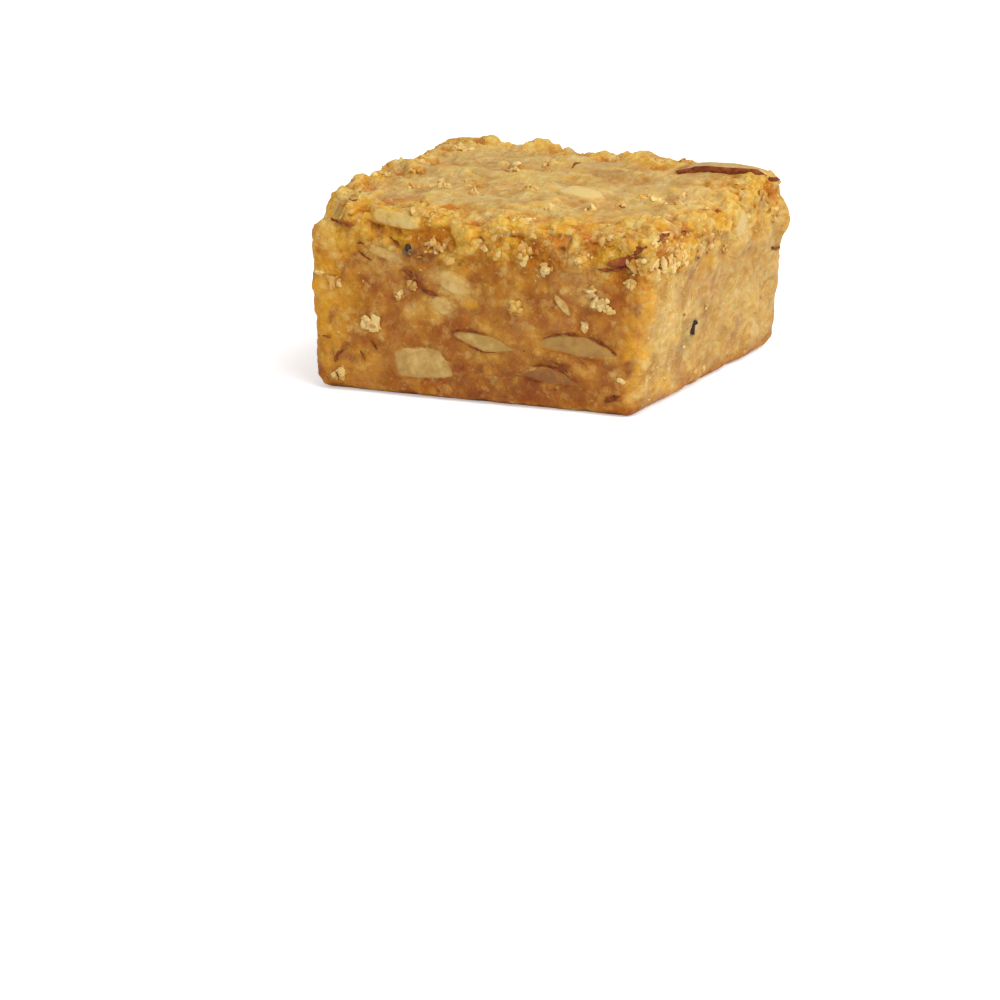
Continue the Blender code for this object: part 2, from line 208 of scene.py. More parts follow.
def block_form(box_points, rough):
    """Surface points, outward directions, fine relief and tone: a plain box's points, drawn in to
    rounded edges, moved with the corners, and raised by swells, dents, crags, knobs and facets."""
    half = BLOCK_SIZE / 2
    core = np.clip(box_points, EDGE_RADIUS - half, half - EDGE_RADIUS)
    outward = box_points - core
    outward /= np.linalg.norm(outward, axis=1, keepdims=True)
    points = core + EDGE_RADIUS * outward + (0, 0, half[2])
    share = (box_points / half + 1) / 2
    for corner, shift in CORNER_SHIFTS.items():
        weight = np.prod(np.where(np.array(corner) > 0, share, 1 - share), axis=1)
        points += weight[:, None] * shift
    raised = SWELL_HEIGHT * smooth_noise(points, SWELL_SIZE, SEED)
    raised += DENT_HEIGHT * smooth_noise(points, DENT_SIZE, SEED + 1)
    crumbled = 1 - smooth_step(from_top_edges(box_points), 0, CRUMBLED_BAND)
    crags = lumps(pushed_aside(points, CRAG_PUSH_SIZE, CRAG_PUSH, SEED + 40), CRAG_SIZE, SEED + 2)
    raised += crumbled * (CRAG_HEIGHT * crags - CRUMBLED_LOSS)
    for x, y, z, radius, rise in KNOBS:
        raised += rise * np.exp(-((np.linalg.norm(points - (x, y, z), axis=1) / radius) ** 2))

    fine, tone = np.zeros((2, len(points)))
    on_top = smooth_step(outward[:, 2], *TOP_AT)
    for number, (size, on_cut, on_pressed, in_band) in enumerate(FACETS):
        spread = on_cut + on_top * (on_pressed - on_cut)
        spread += rough * (in_band - spread)
        pushed = pushed_aside(points, FACET_PUSH_SIZE * size, FACET_PUSH * size, SEED + 45)
        height, own_tone = facets(pushed, size, SEED + 50 + 10 * number)
        fine += spread * height
        tone += 0.5 * own_tone
    fine += (1 + GRAIN_GAIN * rough) * GRAIN_HEIGHT * smooth_noise(points, GRAIN_SIZE, SEED + 80)
    mounds = smooth_step(smooth_noise(points, MOUND_SIZE, SEED + 97), *MOUND_AT)
    fine += (LEFT_ON_CUTS + (1 - LEFT_ON_CUTS) * on_top) * MOUND_HEIGHT * mounds
    pits = smooth_step(smooth_noise(points, PIT_SIZE, SEED + 90), *PIT_AT)
    fine -= (LEFT_ON_CUTS + (1 - LEFT_ON_CUTS) * rough) * PIT_DEPTH * pits
    raised += fine

    lifted = smooth_step(points[:, 2], 0, BASE_FADE)
    chips = smooth_step(smooth_noise(points, CHIP_SIZE, SEED + 100), *CHIP_AT)
    level = (1 - lifted) * (raised - CHIP_DEPTH * chips)
    points += outward * (lifted * raised)[:, None]
    points[:, :2] += outward[:, :2] * level[:, None]
    from_ledge = np.linalg.norm(points[:, :2] - LEDGE_CENTRE, axis=1)
    broken = 1 - smooth_step(from_ledge, LEDGE_RADIUS - LEDGE_STEP, LEDGE_RADIUS + LEDGE_STEP)
    points[:, 2] -= LEDGE_DROP * broken * smooth_step(points[:, 2], half[2], BLOCK_SIZE[2])
    return points, outward, fine + crumbled * (crags - CRAG_MIDDLE), tone


FINE_STEP, COARSE_STEP = 0.20, 0.31
WIDENED_OVER = 3
OPEN_BASE = 12


def grid_lines(length, both_ends=True):
    """Places along an edge: steps of the fine width near its ends, widening to the coarse width."""
    places = np.linspace(-length / 2, length / 2, 4001)
    to_end = length / 2 - (abs(places) if both_ends else places)
    widening = smooth_step(to_end, CRUMBLED_BAND, CRUMBLED_BAND + WIDENED_OVER)
    step = FINE_STEP + (COARSE_STEP - FINE_STEP) * widening
    passed = np.concatenate([[0], np.cumsum(np.diff(places) / step[1:])])
    return np.interp(np.linspace(0, passed[-1], round(passed[-1]) + 1), passed, places)


def closed_box_grid(lines):
    """Points over the six sides of a box and the faces that close it, facing out. The middle of the
    base, a few steps in from its edges, is one flat face."""
    counts = [len(line) - 1 for line in lines]
    lattice = np.stack(np.meshgrid(*(np.arange(n + 1) for n in counts), indexing="ij"), axis=-1)
    on_shell = ((lattice == 0) | (lattice == counts)).any(axis=-1)
    number = np.full(on_shell.shape, -1)
    number[on_shell] = np.arange(on_shell.sum())
    points = np.stack([lines[axis][lattice[on_shell][:, axis]] for axis in range(3)], axis=1)
    faces = []
    for axis in range(3):
        for end in (0, -1):
            sheet = np.take(number, end, axis=axis)
            loop = [sheet[:-1, :-1], sheet[1:, :-1], sheet[1:, 1:], sheet[:-1, 1:]]
            if (end == 0) != (axis == 1):
                loop.reverse()
            quads = np.stack(loop, axis=-1)
            if axis == 2 and end == 0:
                first, last = OPEN_BASE, np.array(counts[:2]) - OPEN_BASE
                inner = sheet[first : last[0] + 1, first : last[1] + 1]
                kept = np.ones(quads.shape[:2], bool)
                kept[first : last[0], first : last[1]] = False
                quads = quads[kept]
                rim = [inner[0, :-1], inner[:-1, -1], inner[-1, :0:-1], inner[:0:-1, 0]]
                faces.append(np.concatenate(rim).tolist())
            faces += quads.reshape(-1, 4).tolist()
    used = np.zeros(len(points), bool)
    used[np.concatenate([np.ravel(face) for face in faces])] = True
    renumber = np.cumsum(used) - 1
    return points[used], [[int(renumber[corner]) for corner in face] for face in faces]


width, depth, height = BLOCK_SIZE
lines = (grid_lines(width), grid_lines(depth), grid_lines(height, both_ends=False))
box_points, block_faces = closed_box_grid(lines)
rough = roughness_of(box_points)
form, outward, fine_relief, tone = block_form(box_points, rough)

PASTE_AMBER = (0.42, 0.128, 0.006)
PASTE_TAN = (0.53, 0.240, 0.028)
PASTE_LIGHT = (0.64, 0.370, 0.060)
PASTE_RUSSET = (0.30, 0.080, 0.009)
# Paler, greyer paste on the faces turned up and towards the lamp, the top and the right cut: on the top
# partly its drier pressed surface, and on both a painted sheen and painted light
PASTE_DRY = (0.610, 0.512, 0.220)
PASTE_MILKY = (0.71, 0.595, 0.325)
PASTE_GOLD = (0.69, 0.375, 0.020)
# Bright golden strips on the rounded vertical edges: partly the paste's golden tone and partly painted
# light
PASTE_HONEY = (0.80, 0.450, 0.035)
# Pale straw, laid on the block's raised relief as painted light
PASTE_STRAW = (0.77, 0.575, 0.130)
# Painted shade: the paste's sunken relief and hollows are laid over with this darker, redder colour
PASTE_PIT = (0.50, 0.165, 0.008)
PASTE_CREAM = (0.77, 0.590, 0.225)
# Red-brown almond-skin stain; the broad low patches along the foot of the front lay it on as painted
# shade
PASTE_STAIN = (0.24, 0.058, 0.022)
PASTE_GREY = (0.10, 0.070, 0.055)
PASTE_ROSE = (0.50, 0.250, 0.075)
CLOUDED, CLEAR = (0.84, 0.72, 0.58), (1.06, 1.08, 1.06)
# Painted shade and painted light: the paste is tinted darker and redder where its fine relief and grains
# sink, and paler where they rise
SHADED, LIT = (0.93, 0.75, 0.50), (1.02, 1.03, 1.10)

# Size in mm, detail and seed of each noise in the paste
PASTE_NOISES = {
    "broad": (8.0, 2, 1),
    "middling": (2.8, 3, 2),
    "rusty": (5.0, 3, 3),
    "ragged": (0.9, 3, 4),
    "fine": (0.35, 3, 5),
    "grain": (0.95, 4, 6),
    "rosy": (3.2, 2, 7),
    "cloudy": (3.6, 3, 8),
    "milky": (2.2, 3, 9),
}
PASTE_MASKS = ("Tone", "Crumbled", "Pit", "Peak", "Dry", "Gold", "Honey", "Cream", "Stain", "Grey")
GRAIN_DRAWN_OUT = (1, 0.6, 1)
COARSE_GRAIN, SMALL_GRAIN, FLECK = 0.85, 0.42, 1.9
JOSTLE_SIZE, JOSTLE = 0.8, 1.3


def add_node(tree, kind, inputs=(), **settings):
    """A node with its settings and its inputs: a socket is linked, a value is set."""
    node = tree.nodes.new(kind)
    for name, value in settings.items():
        setattr(node, name, value)
    for name, value in dict(inputs).items():
        if isinstance(value, bpy.types.NodeSocket):
            tree.links.new(value, node.inputs[name])
        else:
            node.inputs[name].default_value = value
    return node


def opaque(colour):
    """A colour as a socket takes it: a socket as it is, a tuple with its alpha added."""
    return colour if isinstance(colour, bpy.types.NodeSocket) else (*colour, 1)


def blended(tree, share, first, second, way="MIX"):
    """The first colour, giving way to the second by a share from 0 to 1."""
    inputs = {0: share, 6: opaque(first), 7: opaque(second)}
    return add_node(tree, "ShaderNodeMix", inputs, data_type="RGBA", blend_type=way).outputs[2]


def tinted(tree, colour, tint):
    """A colour multiplied by a tint."""
    return blended(tree, 1.0, colour, tint, "MULTIPLY")


def layered(tree, colour, layers):
    """A colour with others laid over it in turn, each by its own share."""
    for share, other in layers:
        colour = blended(tree, share, colour, other)
    return colour


def worked_out(tree, operation, *values):
    """The result of simple arithmetic on values or sockets."""
    return add_node(tree, "ShaderNodeMath", enumerate(values), operation=operation).outputs[0]


def product(tree, first, second):
    """Two values or sockets multiplied."""
    return worked_out(tree, "MULTIPLY", first, second)


def places_on(tree):
    """Every place on a piece, from its own origin."""
    return add_node(tree, "ShaderNodeTexCoord").outputs["Object"]


def eased(tree, value, low, high, most=1.0, least=0.0):
    """A value, eased from the least at the low end to the most at the high end."""
    inputs = {"Value": value, "From Min": low, "From Max": high, "To Min": least, "To Max": most}
    return add_node(tree, "ShaderNodeMapRange", inputs, interpolation_type="SMOOTHSTEP").outputs[0]


def noise_of(tree, place, size, detail, seed):
    """Noise whose blotches are about the size given, in mm."""
    inputs = {"Vector": place, "W": seed, "Scale": 1000 / size, "Detail": detail, "Roughness": 0.6}
    return add_node(tree, "ShaderNodeTexNoise", inputs, noise_dimensions="4D").outputs[0]


def cells_of(tree, place, size):
    """Cells of about the size given, in mm: how far each point is from its cell's centre, and two
    random numbers for the cell."""
    cells = add_node(tree, "ShaderNodeTexVoronoi", {"Vector": place, "Scale": 1000 / size}).outputs
    own = add_node(tree, "ShaderNodeSeparateColor", {0: cells["Color"]}).outputs
    return cells["Distance"], own[0], own[1]


def jostled(tree, place):
    """Places pushed aside by fine noise, so that cells drawn over them get ragged borders."""
    inputs = {"Vector": place, "Scale": 1000 / JOSTLE_SIZE, "Detail": 2}
    inputs = {0: add_node(tree, "ShaderNodeTexNoise", inputs).outputs["Color"], 1: (0.5, 0.5, 0.5)}
    push = add_node(tree, "ShaderNodeVectorMath", inputs, operation="SUBTRACT").outputs[0]
    inputs = {0: push, 1: (JOSTLE * MM,) * 3, 2: place}
    return add_node(tree, "ShaderNodeVectorMath", inputs, operation="MULTIPLY_ADD").outputs[0]


def paste_group():
    """The pressed nut meal: paste mottled from amber to tan, with pale grains of nut and red flecks of
    skin, all drawn out from front to back. The masks turn it golden, pale, stained or grey. They also
    paint shade into its pits and hollows and at the foot of the front, light onto its raised relief,
    partly light onto its rounded vertical edges, and a paler sheen and light onto the faces towards
    the lamp, beside the drier top. Painted shade darkens it between its grains and where its fine
    relief sinks, and painted light brightens their tops."""
    tree = bpy.data.node_groups.new("pressed nut meal", "ShaderNodeTree")
    for name in PASTE_MASKS:
        tree.interface.new_socket(name, in_out="INPUT", socket_type="NodeSocketFloat")
    tree.interface.new_socket("Color", in_out="OUTPUT", socket_type="NodeSocketColor")
    tree.interface.new_socket("Roughness", in_out="OUTPUT", socket_type="NodeSocketFloat")
    tree.interface.new_socket("Height", in_out="OUTPUT", socket_type="NodeSocketFloat")
    given = add_node(tree, "NodeGroupInput").outputs
    inputs = {"Vector": places_on(tree), "Scale": GRAIN_DRAWN_OUT}
    place = add_node(tree, "ShaderNodeMapping", inputs).outputs[0]
    noise = {name: noise_of(tree, place, *row) for name, row in PASTE_NOISES.items()}

    middling = worked_out(tree, "MULTIPLY_ADD", given["Tone"], 0.12, noise["middling"])
    milky = eased(tree, noise["milky"], 0.48, 0.66, 0.55)
    colour = blended(tree, eased(tree, noise["broad"], 0.42, 0.58), PASTE_AMBER, PASTE_TAN)
    mottles = (
        (eased(tree, middling, 0.44, 0.74, 0.8), PASTE_LIGHT),
        (eased(tree, middling, 0.50, 0.28, 0.6), PASTE_RUSSET),
        (eased(tree, noise["rusty"], 0.50, 0.70, 0.55), PASTE_RUSSET),
        # Painted sheen and light on the faces towards the lamp, beside the drier top
        (product(tree, given["Dry"], 0.82), PASTE_DRY),
        (product(tree, given["Dry"], milky), PASTE_MILKY),
        (eased(tree, noise["rosy"], 0.48, 0.66, 0.45), PASTE_ROSE),
    )
    colour = layered(tree, colour, mottles)
    cloudy = eased(tree, noise["cloudy"], 0.36, 0.60)
    colour = blended(tree, cloudy, tinted(tree, colour, CLOUDED), tinted(tree, colour, CLEAR))

    golden = worked_out(tree, "MAXIMUM", given["Crumbled"], given["Gold"])
    ragged = eased(tree, noise["ragged"], 0.25, 0.6)
    patches = (
        (product(tree, golden, eased(tree, middling, 0.3, 0.6, 0.85)), PASTE_GOLD),
        # Partly golden tone, partly painted light on the rounded vertical edges
        (product(tree, given["Honey"], eased(tree, middling, 0.25, 0.55, 0.9)), PASTE_HONEY),
        # On the block, painted light on the raised relief; on the crumbs, a paler tint
        (product(tree, given["Peak"], 0.45), PASTE_STRAW),
        # Painted shade in the sunken relief and the hollows
        (product(tree, given["Pit"], 0.8), PASTE_PIT),
        (product(tree, given["Cream"], ragged), PASTE_CREAM),
        # Almond-skin stain, and painted shade at the foot of the front
        (product(tree, given["Stain"], ragged), PASTE_STAIN),
        (given["Grey"], PASTE_GREY),
    )
    colour = layered(tree, colour, patches)

    loose = worked_out(tree, "MULTIPLY_ADD", given["Crumbled"], 0.45, 0.55)
    shaken = jostled(tree, place)
    from_coarse, own, _ = cells_of(tree, shaken, COARSE_GRAIN)
    from_small = cells_of(tree, shaken, SMALL_GRAIN)[0]
    from_fleck, _, chosen = cells_of(tree, place, FLECK)
    flecks = product(tree, eased(tree, from_fleck, 0.14, 0.07), eased(tree, chosen, 0.80, 0.84, 0.8))
    grains = (
        (eased(tree, noise["grain"], 0.57, 0.70, 0.35), PASTE_CREAM),
        (eased(tree, noise["grain"], 0.42, 0.30, 0.35), PASTE_RUSSET),
        (product(tree, eased(tree, own, 0.78, 1.0, 0.50), loose), PASTE_CREAM),
        (product(tree, eased(tree, own, 0.24, 0.0, 0.36), loose), PASTE_RUSSET),
        (flecks, PASTE_STAIN),
    )
    colour = layered(tree, colour, grains)
    # Painted shade and painted light: darker between the grains and in the low parts of the fine noise,
    # lighter on the grain tops, by the same domes and noise that make the bump
    coarse_domes = eased(tree, from_coarse, 0.75, 0)
    small_domes = eased(tree, from_small, 0.75, 0, 0.5)
    domes = product(tree, worked_out(tree, "ADD", coarse_domes, small_domes), loose)
    shade = eased(tree, worked_out(tree, "ADD", noise["fine"], domes), 0.45, 1.45)
    colour = blended(tree, shade, tinted(tree, colour, SHADED), tinted(tree, colour, LIT))

    roughness = worked_out(tree, "MULTIPLY_ADD", eased(tree, middling, 0.3, 0.7), 0.22, 0.45)
    height = worked_out(tree, "MULTIPLY_ADD", noise["grain"], 0.6, product(tree, noise["fine"], 0.5))
    height = worked_out(tree, "MULTIPLY_ADD", domes, 0.45, height)
    add_node(tree, "NodeGroupOutput", {"Color": colour, "Roughness": roughness, "Height": height})
    return tree


paste = paste_group()

# The almond slices: blanched almonds, sliced and stirred into the paste, then cut through with it.
# A slice lies flush in a cut face with paste drawn over its rim, or flat on the top.

# The way out of each side, and the way across it to the right
SIDES = {
    "front": ((0, -1, 0), (1, 0, 0)),
    "right": ((1, 0, 0), (0, 1, 0)),
    "back": ((0, 1, 0), (-1, 0, 0)),
    "left": ((-1, 0, 0), (0, -1, 0)),
    "top": ((0, 0, 1), (1, 0, 0)),
}

# A veil is how much paste is drawn over a slice, and a tone runs from skin, below 0, to pale flesh, at 1
Slice = namedtuple(
    "Slice",
    "side across up length breadth turn proud squareness bend taper lean point veil tone",
    defaults=(0.0, 0.0, 0.0, 0.0, 0.35, 0.5),
)
PLACED_SLICES = (
    Slice("front", -7.5, 4.5, 8.2, 4.5, 4, 0.35, 4.5, taper=0.24, lean=-1.6, veil=0.1, tone=0.70),
    Slice("front", 0.7, 7.8, 9.4, 2.5, -9, 0.33, 1.5, bend=0.3, point=0.3, veil=0.25, tone=0.62),
    Slice("front", 12.4, 7.9, 11.6, 3.0, -3, 0.33, 1.6, bend=-0.9, veil=0.22, tone=0.42),
    # This low slice's dark brown tone is painted shade, as it lies near the foot of the front
    Slice("front", 9.0, 4.1, 8.0, 2.3, -9, 0.32, 1.6, bend=-0.5, point=0.2, veil=0.32, tone=0.10),
    Slice("front", -3.3, 14.6, 5.7, 2.8, -19, 0.28, 2.2, veil=0.45, tone=0.95),
    Slice("front", -4.9, 11.7, 3.6, 2.4, -25, 0.25, 2.2, veil=0.5, tone=0.9),
    Slice("front", 10.7, 13.1, 3.8, 1.2, -55, 0.30, 1.8, veil=0.3, tone=0.85),
    Slice("front", -10.6, 21.7, 8.4, 2.3, -5, 0.60, 3.0, veil=0.38, tone=1.1, lean=-1.2, point=0.15),
    Slice("front", -11.9, 17.4, 5.6, 1.7, -18, 0.30, 1.8, veil=0.50, tone=0.8),
    Slice("front", 18.0, 18.9, 5.4, 1.2, 17, 0.25, 1.8, veil=0.3, tone=-0.6),
    Slice("top", 16.3, 18.3, 13.2, 5.0, 24, 0.95, 3.0, veil=0.3, tone=0.75),
    Slice("top", 6.3, -5.2, 6.6, 4.4, -12, 0.75, 3.0, lean=0.8, veil=0.15, tone=1.1),
    Slice("right", 5.4, 18.9, 5.2, 3.8, -35, 0.45, 2.6, veil=0.4, tone=1.0),
    Slice("right", -9.0, 11.4, 4.6, 1.8, 64, 0.28, 2.0, veil=0.75, tone=0.8),
)

# How many lie on a side at random, and the corners of the area they lie in
STREWN_SLICES = {
    "back": (8, (-17, 3), (17, 18)),
    "left": (8, (-17, 3), (17, 18)),
    "top": (4, (-16, -16), (16, 16)),
}
SLICE_LENGTHS, SLICE_BREADTHS = (4.0, 10.0), (1.8, 4.2)
SLICE_FATTEST = 0.6
SLICE_TURN_LIMIT = 60
SLICE_PROUD, SLICE_SQUARENESS = (0.25, 0.45), (2.0, 3.0)
SLICE_VEILS, SLICE_VEIL_ON_TOP = (0.20, 0.26, 0.32, 0.38, 0.44), 0.6
SLICE_TONES = 0.45 + 0.0225 * np.arange(20)
SLICE_POINTED, SLICE_BENT = 0.45, 0.12
SLICE_TRIES = 60
LYING_SQUARELY, FACING_ALIKE = 0.6, 0.2
SLICE_SUNK, SLICE_DEPTH = 0.2, 0.25
SLICE_MARGIN = 3
BED_DEPTH, BED_AT, FREE_AT = 0.12, (0.70, 0.97), (0.9, 1.5)
LEVELLED_OVER = 0.8

# From a slice's crown to the middle of its underside: how far out, and how high, of its own height
SLICE_PROFILE = (
    (0, 1), (0.25, 1), (0.5, 0.97), (0.72, 0.88), (0.86, 0.68),
    (0.94, 0.40), (1, -0.1), (0.98, -1), (0.6, -1.4), (0, -1.4),
)
SLICE_AROUND = 64
SLICE_WOBBLE, SLICE_TILT = 0.20, 0.10
SLICE_COVER_SIZE, SLICE_COVER = 1.1, 0.6


def strewn_slices(draw):
    """Slices drawn at random, each at the clearest of a few places tried for it."""
    placed = [(almond.side, np.array((almond.across, almond.up))) for almond in PLACED_SLICES]
    drawn = []
    for side, (count, low, high) in STREWN_SLICES.items():
        for _ in range(count):
            places = draw.uniform(low, high, (SLICE_TRIES, 2))
            there = [place for other, place in placed if other == side] or [np.full(2, np.inf)]
            room = [min(np.linalg.norm(place - other) for other in there) for place in places]
            place = places[int(np.argmax(room))]
            placed.append((side, place))
            length = draw.uniform(*SLICE_LENGTHS)
            breadth = min(draw.uniform(*SLICE_BREADTHS), SLICE_FATTEST * length)
            turn = draw.uniform(-SLICE_TURN_LIMIT, SLICE_TURN_LIMIT)
            proud = draw.uniform(*SLICE_PROUD)
            squareness = draw.uniform(*SLICE_SQUARENESS)
            number = len(drawn)
            way = 1 if number % 2 else -1
            own = {"tone": SLICE_TONES[7 * number % len(SLICE_TONES)], "bend": way * SLICE_BENT * breadth}
            own["point"] = way * SLICE_POINTED * own["tone"]
            own["veil"] = SLICE_VEIL_ON_TOP if side == "top" else SLICE_VEILS[number % len(SLICE_VEILS)]
            drawn.append(Slice(side, *place, length, breadth, turn, proud, squareness, **own))
    return drawn


def frame_on(side, across, up, turn, reach):
    """Origin and axes (along, aside, out) of the plane through the block's surface around a place."""
    normal, along = (np.array(direction, float) for direction in SIDES[side])
    third = np.cross(normal, along)
    flat = np.stack([form @ along, form @ third], axis=1) - (across, up)
    near = (np.linalg.norm(flat, axis=1) < reach) & (outward @ normal > LYING_SQUARELY)
    plane = np.column_stack([flat[near], np.ones(near.sum())])
    lean_along, lean_third, height = np.linalg.lstsq(plane, form[near] @ normal, rcond=None)[0]
    out = normal - lean_along * along - lean_third * third
    out /= np.linalg.norm(out)
    level = along - out * (out @ along)
    level /= np.linalg.norm(level)
    angle = np.radians(turn)
    turned = np.cos(angle) * level + np.sin(angle) * np.cross(out, level)
    return along * across + third * up + normal * height, np.array((turned, np.cross(out, turned), out))


def height_there(place, surface, spread):
    """The block's height in a frame at each place: a mean of its points, weighted by nearness."""
    reach = abs(place).max(axis=0) + 3 * spread
    near = surface[(abs(surface[:, :2]) < reach).all(axis=1)]
    gap = ((place[:, None, :] - near[None, :, :2]) ** 2).sum(axis=2)
    weight = np.exp(-gap / (2 * spread**2)) + 1e-12
    return (weight * near[:, 2]).sum(axis=1) / weight.sum(axis=1)


def squared_circle(angles, squareness):
    """A round outline that gets squarer: cosine and sine, each to the power 2 over the squareness."""
    circle = np.array([np.cos(angles), np.sin(angles)])
    return np.sign(circle) * abs(circle) ** (2 / squareness)


def slice_outline(u, v, almond):
    """A slice's point from its place in a unit shape: bent along its length, leaning and tapered."""
    x = u * (1 - almond.taper * v) * almond.length / 2 + almond.lean * v / 2
    return x, v * (1 - almond.point * u) * almond.breadth / 2 + almond.bend * (u**2 - 0.5)


def share_of_slice(x, y, almond):
    """How far out a point lies in a slice: 0 in its middle, 1 on its outline."""
    u = x / (almond.length / 2)
    for _ in range(3):
        u = np.clip(u, -1.2, 1.2)
        v = (y - almond.bend * (u**2 - 0.5)) / ((1 - almond.point * u) * almond.breadth / 2)
        narrowed = 1 - almond.taper * np.clip(v, -1.5, 1.5)
        u = (x - almond.lean * v / 2) / (narrowed * almond.length / 2)
    return (abs(u) ** almond.squareness + abs(v) ** almond.squareness) ** (1 / almond.squareness)


def slice_points(almond, origin, axes, surface, draw):
    """A slice's points and how far out each is: its profile, carried round its outline."""
    angles = np.linspace(0, 2 * np.pi, SLICE_AROUND, endpoint=False)
    waves = sum(np.cos(count * angles + draw.uniform(0, 7)) / count**0.8 for count in (2, 3, 5, 9))
    edge = squared_circle(angles, almond.squareness) * (1 + SLICE_WOBBLE / almond.squareness * waves)
    rings = len(SLICE_PROFILE) - 2
    rim, level = np.repeat(np.array(SLICE_PROFILE).T, [1] + [SLICE_AROUND] * rings + [1], axis=1)
    u, v = rim * edge[:, np.concatenate([[0], np.tile(np.arange(SLICE_AROUND), rings), [0]])]
    x, y = slice_outline(u, v, almond)
    shows = np.where(level > 0, almond.proud - SLICE_SUNK, 0)
    z = height_there(np.stack([x, y], axis=1), surface, LEVELLED_OVER)
    z += level * (SLICE_DEPTH + shows) - SLICE_DEPTH
    lean = draw.uniform(0, 2 * np.pi)
    z += SLICE_TILT * (u * np.cos(lean) + v * np.sin(lean))
    return origin + np.stack([x, y, z], axis=1) @ axes, rim


def ring_faces(rings, around, pieces):
    """The faces of closed shapes, each of so many rings between two end points, in that order."""
    ring = 1 + np.arange(rings)[:, None] * around + np.arange(around)[None, :]
    after = np.roll(ring, -1, axis=1)
    quads = np.stack([ring[:-1], ring[1:], after[1:], after[:-1]], axis=-1).reshape(-1, 4)
    last = rings * around + 1
    caps = [np.stack([np.full(around, 0), ring[0], after[0]], axis=1)]
    caps.append(np.stack([ring[-1], np.full(around, last), after[-1]], axis=1))
    faces = []
    for start in np.arange(pieces) * (last + 1):
        faces += (quads + start).tolist()
        faces += (np.concatenate(caps) + start).tolist()
    return faces


def add_mask(mesh, name, values):
    """A named value at each point of a mesh, for its material to read."""
    attribute = mesh.attributes.new(name, "FLOAT", "POINT")
    attribute.data.foreach_set("value", values.astype(np.float32))


def new_piece(name, points, faces, masks=None):
    """A mesh piece from points in mm, with a value at each point for each named mask."""
    mesh = bpy.data.meshes.new(name)
    mesh.from_pydata((points * MM).tolist(), [], faces)
    for mask, values in (masks or {}).items():
        add_mask(mesh, mask, values)
    mesh.shade_smooth()
    piece = bpy.data.objects.new(name, mesh)
    bpy.context.scene.collection.objects.link(piece)
    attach(piece, "root")
    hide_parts("barfi")
    return piece


draw = np.random.default_rng(SEED)
shape_draw = np.random.default_rng(SEED + 1)
almonds = PLACED_SLICES + tuple(strewn_slices(draw))
slice_rows = []
bed = np.zeros(len(form))
near_slice = np.zeros(len(form))
for almond in almonds:
    origin, axes = frame_on(almond.side, almond.across, almond.up, almond.turn, almond.length / 2)
    local = (form - origin) @ axes.T
    reach = np.array((almond.length / 2, almond.breadth / 2, 0)) + SLICE_MARGIN
    close = np.flatnonzero((abs(local) < reach).all(axis=1) & (outward @ axes[2] > FACING_ALIKE))
    surface = local[close]
    points, rim = slice_points(almond, origin, axes, surface, shape_draw)
    flat = ((points - origin) @ axes.T)[:, None, :2]
    nearest = close[((flat - surface[None, :, :2]) ** 2).sum(axis=2).argmin(axis=1)]
    veil, flesh = np.full((len(points), 2), (almond.veil, almond.tone)).T
    slice_rows.append((points, rim, veil, flesh, nearest))
    share = share_of_slice(surface[:, 0], surface[:, 1], almond)
    near_slice[close] = np.maximum(near_slice[close], 1 - smooth_step(share, *FREE_AT))
    inside = share < BED_AT[1]
    lying = height_there(surface[inside, :2], surface, LEVELLED_OVER)
    ragged = (0.15 + almond.veil) * smooth_noise(form[close[inside]], SLICE_COVER_SIZE, SEED + 85)
    sink = np.clip(surface[inside, 2] - (lying - BED_DEPTH), 0, None)
    sink *= 1 - smooth_step(share[inside] + SLICE_COVER * ragged, *BED_AT)
    bed[close[inside]] = np.maximum(bed[close[inside]], sink)
slice_form, rim, veil, flesh, under_film = (np.concatenate(column) for column in zip(*slice_rows))
faces = ring_faces(len(SLICE_PROFILE) - 2, SLICE_AROUND, len(almonds))
slice_masks = {"rim": rim, "veil": veil, "flesh": flesh}
slices = new_piece("almond_slices", slice_form, faces, slice_masks)

FLESH_SKIN = (0.31, 0.058, 0.016)
FLESH_BROWN = (0.27, 0.105, 0.030)
FLESH_TAN = (0.45, 0.255, 0.065)
FLESH_PALE = (0.715, 0.515, 0.175)
WARM_DEPTHS = (1.0, 0.5, 0.2)


def finish_of(piece, name, weight, scale, specular, roughness=0.5):
    """A new material on a piece: its node tree and its shader. Light sinks in, as deep as the scale
    in mm, and comes out warmer."""
    material = bpy.data.materials.new(name)
    material.use_nodes = True
    tree = material.node_tree
    shader = tree.nodes["Principled BSDF"]
    shader.inputs["Subsurface Weight"].default_value = weight
    shader.inputs["Subsurface Radius"].default_value = WARM_DEPTHS
    shader.inputs["Subsurface Scale"].default_value = scale * MM
    shader.inputs["Specular IOR Level"].default_value = specular
    shader.inputs["Roughness"].default_value = roughness
    piece.data.materials.append(material)
    return tree, shader


def mask_of(tree, name):
    """A piece's mask, by its name."""
    return add_node(tree, "ShaderNodeAttribute", attribute_name=name).outputs["Fac"]


def bumped(tree, shader, height, strength, depth):
    """Fine relief from a height, as deep as the depth given in mm."""
    inputs = {"Strength": strength, "Distance": depth * MM, "Height": height}
    tree.links.new(add_node(tree, "ShaderNodeBump", inputs).outputs[0], shader.inputs["Normal"])


def pressed_paste(tree):
    """The outputs of the paste as the masks of a piece make it."""
    inputs = {name: mask_of(tree, name.lower()) for name in PASTE_MASKS}
    return add_node(tree, "ShaderNodeGroup", inputs, node_tree=paste).outputs


